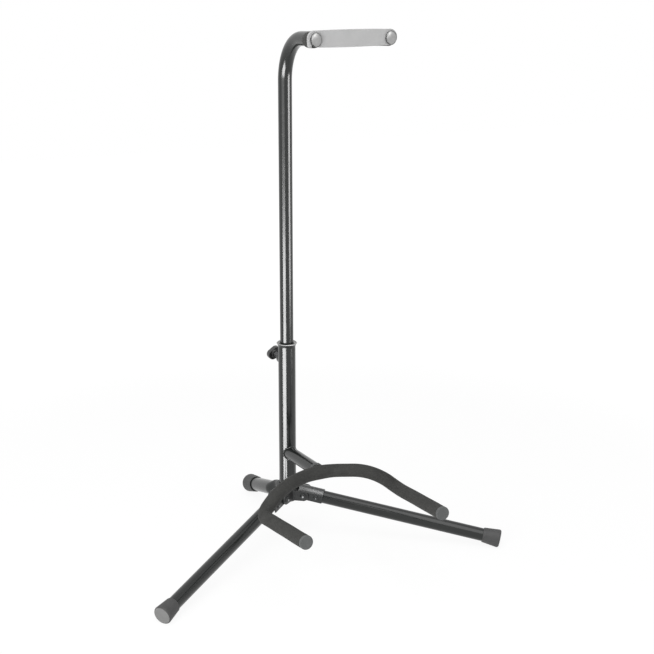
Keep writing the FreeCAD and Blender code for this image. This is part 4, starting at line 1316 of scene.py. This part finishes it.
# %% Finishes on the model's own pieces
own_finish = {
    "mouth_bush": nylon_bush(),
    "slide_plug": plastic_black,
    "column_plug": plastic_black,
    "clamp_pad": plastic_black,
    "left_pivot_spacer": rivet_steel,
    "right_pivot_spacer": rivet_steel,
    "column_washer": rivet_steel,
    "column_screw": rivet_steel,
    "cradle_rod": bracket_enamel,
    "yoke_rod": bracket_enamel,
}
for node_name, finish in own_finish.items():
    materials = frame["nodes"][node_name].data.materials
    materials.clear()
    materials.append(finish)

# %% [markdown]
# ## Light and floor
# The picture is a plain studio: a pale floor, a white room and soft boxes. Diffuse rays see a dimmer room
# than mirrors do, which keeps a colour near its written value while the gloss still mirrors white walls.
# The floor fades to the same white further out, and near the stand it keeps its shadow.

# %% World
world_light = 0.36


def seen(tree):
    """1 for rays from the camera and for those that a mirror or glass sends on, and 0 for the others."""
    path = node(tree, "ShaderNodeLightPath")
    rays = path.outputs["Is Camera Ray"]
    for kind in ("Is Glossy Ray", "Is Transmission Ray"):
        rays = node(tree, "ShaderNodeMath", {0: rays, 1: path.outputs[kind]}, operation="MAXIMUM").outputs[0]
    return rays


def add_world():
    """White to the camera and in reflections, and a lower level of light on everything else."""
    world = bpy.data.worlds.new("studio")
    world.use_nodes = True
    bpy.context.scene.world = world
    tree = world.node_tree
    tree.nodes.clear()
    strength = node(tree, "ShaderNodeMapRange", {"Value": seen(tree), "To Min": world_light, "To Max": 1.0})
    sky = node(tree, "ShaderNodeBackground", {"Color": (1, 1, 1, 1), "Strength": strength.outputs[0]})
    node(tree, "ShaderNodeOutputWorld", {"Surface": sky.outputs[0]})


add_world()

# %% Floor
floor_size = 6.0
shadow_radius = 0.5
fade_width = 0.6
shadow_haze = 0.86
floor_glow = 1.05


def add_floor():
    """A matt floor near the stand that fades to plain white further out.

    Its glow is a little over white, which makes up for the matt share that the dim room lights.
    """
    mesh = bpy.data.meshes.new("floor")
    half = floor_size / 2
    corners = [(-half, -half, 0), (half, -half, 0), (half, half, 0), (-half, half, 0)]
    mesh.from_pydata(corners, [], [(0, 1, 2, 3)])
    floor = bpy.data.objects.new("floor", mesh)
    bpy.context.scene.collection.objects.link(floor)
    material, tree, place = new_finish("matt_white_floor")
    distance = node(tree, "ShaderNodeVectorMath", {0: place}, operation="LENGTH")
    fade = node(tree, "ShaderNodeMapRange", {"Value": distance.outputs["Value"], "From Min": shadow_radius,
                                             "From Max": shadow_radius + fade_width},
                interpolation_type="SMOOTHSTEP")
    haze = node(tree, "ShaderNodeMapRange", {"Value": fade.outputs[0], "To Min": shadow_haze, "To Max": 1.0})
    white = node(tree, "ShaderNodeMath", {0: haze.outputs[0], 1: seen(tree)}, operation="MULTIPLY")
    matt = node(tree, "ShaderNodeBsdfDiffuse", {"Color": linear("f4f4f4")})
    glow = node(tree, "ShaderNodeEmission", {"Color": (1, 1, 1, 1), "Strength": floor_glow})
    mixed = node(tree, "ShaderNodeMixShader", {0: white.outputs[0], 1: matt.outputs[0], 2: glow.outputs[0]})
    node(tree, "ShaderNodeOutputMaterial", {"Surface": mixed.outputs[0]})
    mesh.materials.append(material)
    floor.visible_glossy = False
    floor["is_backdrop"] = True


add_floor()


# %% Soft boxes
def soft_box(name, place, aim, size, power):
    """A rectangular area lamp at a place, facing a point: power is in watts."""
    lamp = bpy.data.lights.new(name, "AREA")
    lamp.shape = "RECTANGLE"
    lamp.size, lamp.size_y = size
    lamp.energy = power
    box = bpy.data.objects.new(name, lamp)
    bpy.context.scene.collection.objects.link(box)
    back = unit(np.array(place) - np.array(aim))
    side = unit(np.cross(up_axis, back))
    matrix = np.eye(4)
    matrix[:3] = np.stack([side, np.cross(back, side), back, place], axis=1)
    box.matrix_world = Matrix(matrix)
    box.visible_camera = False
    return box


# The highlights down the column mirror tall boxes beside the camera. A black gloss throws back only one
# part in twenty-five, so those boxes are bright, and flags keep them off everything but three tubes and a
# weld: light linking does that here. They reach below the floor, because a mirror on the column that is
# seen from above looks down. The bracket box hangs with the front box and lights the brackets only, and
# the front gloss makes the front box brighter in mirrors alone. The other boxes light every piece, and the
# low one is not seen in mirrors.

def bearing(degrees):
    """The level direction that is turned by an angle from -Y towards -X."""
    angle = np.radians(degrees)
    return np.array([-np.sin(angle), -np.cos(angle), 0.0])


def keep_to(box, name, pieces):
    """Let a box be seen only in the gloss of some pieces."""
    lit = bpy.data.collections.new(name)
    for made in pieces:
        lit.objects.link(made)
    box.light_linking.receiver_collection = lit
    box.visible_diffuse = False


tall_box_distance = 1.8


def tall_box(name, side, low_edge, high_edge, width, power):
    """A box that only the glossy pieces see: its edges are heights, and side is its bearing."""
    centre = (low_edge + high_edge) / 2 * up_axis
    box = soft_box(name, column + tall_box_distance * bearing(side) + centre, column + centre,
                   (width, high_edge - low_edge), power)
    keep_to(box, name + "_pieces", glossy_pieces)


tall_box("left_box", 58, -1.25, 0.0, 1.5, 116)
tall_box("left_box_top", 58, 0.0, 0.8, 1.5, 7)
tall_box("right_box", -42, -0.2, 1.2, 0.85, 50)
soft_box("key_box", column + 1.9 * bearing(60) + 1.3 * up_axis, column + 0.25 * up_axis, (0.9, 0.9), 7)
overhead = column + 0.8 * bearing(10) + 1.85 * up_axis
soft_box("front_box", overhead, column + 0.1 * up_axis, (1.3, 2.1), 15)
front_gloss = soft_box("front_gloss", overhead, column + 0.1 * up_axis, (1.3, 2.1), 11)
front_gloss.visible_diffuse = False
bracket_box = soft_box("bracket_box", overhead, column + 0.1 * up_axis, (1.3, 2.1), 260)
keep_to(bracket_box, "brackets", bracket_pieces)
low_box = soft_box("low_box", column + 1.6 * bearing(50) + 0.35 * up_axis, column + 0.1 * up_axis,
                   (0.8, 0.5), 12)
low_box.visible_glossy = False

# %% [markdown]
# ## Finish
# The view transform stays Standard, so that a colour comes out as it was written.

# %% Check and finish
bpy.context.scene.view_settings.view_transform = "Standard"
visual_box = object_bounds()
print("size of the model and of the dressed stand, in mm:")
for box in (cad_box, visual_box):
    print([round((b - a) / MM, 1) for a, b in zip(*box)])
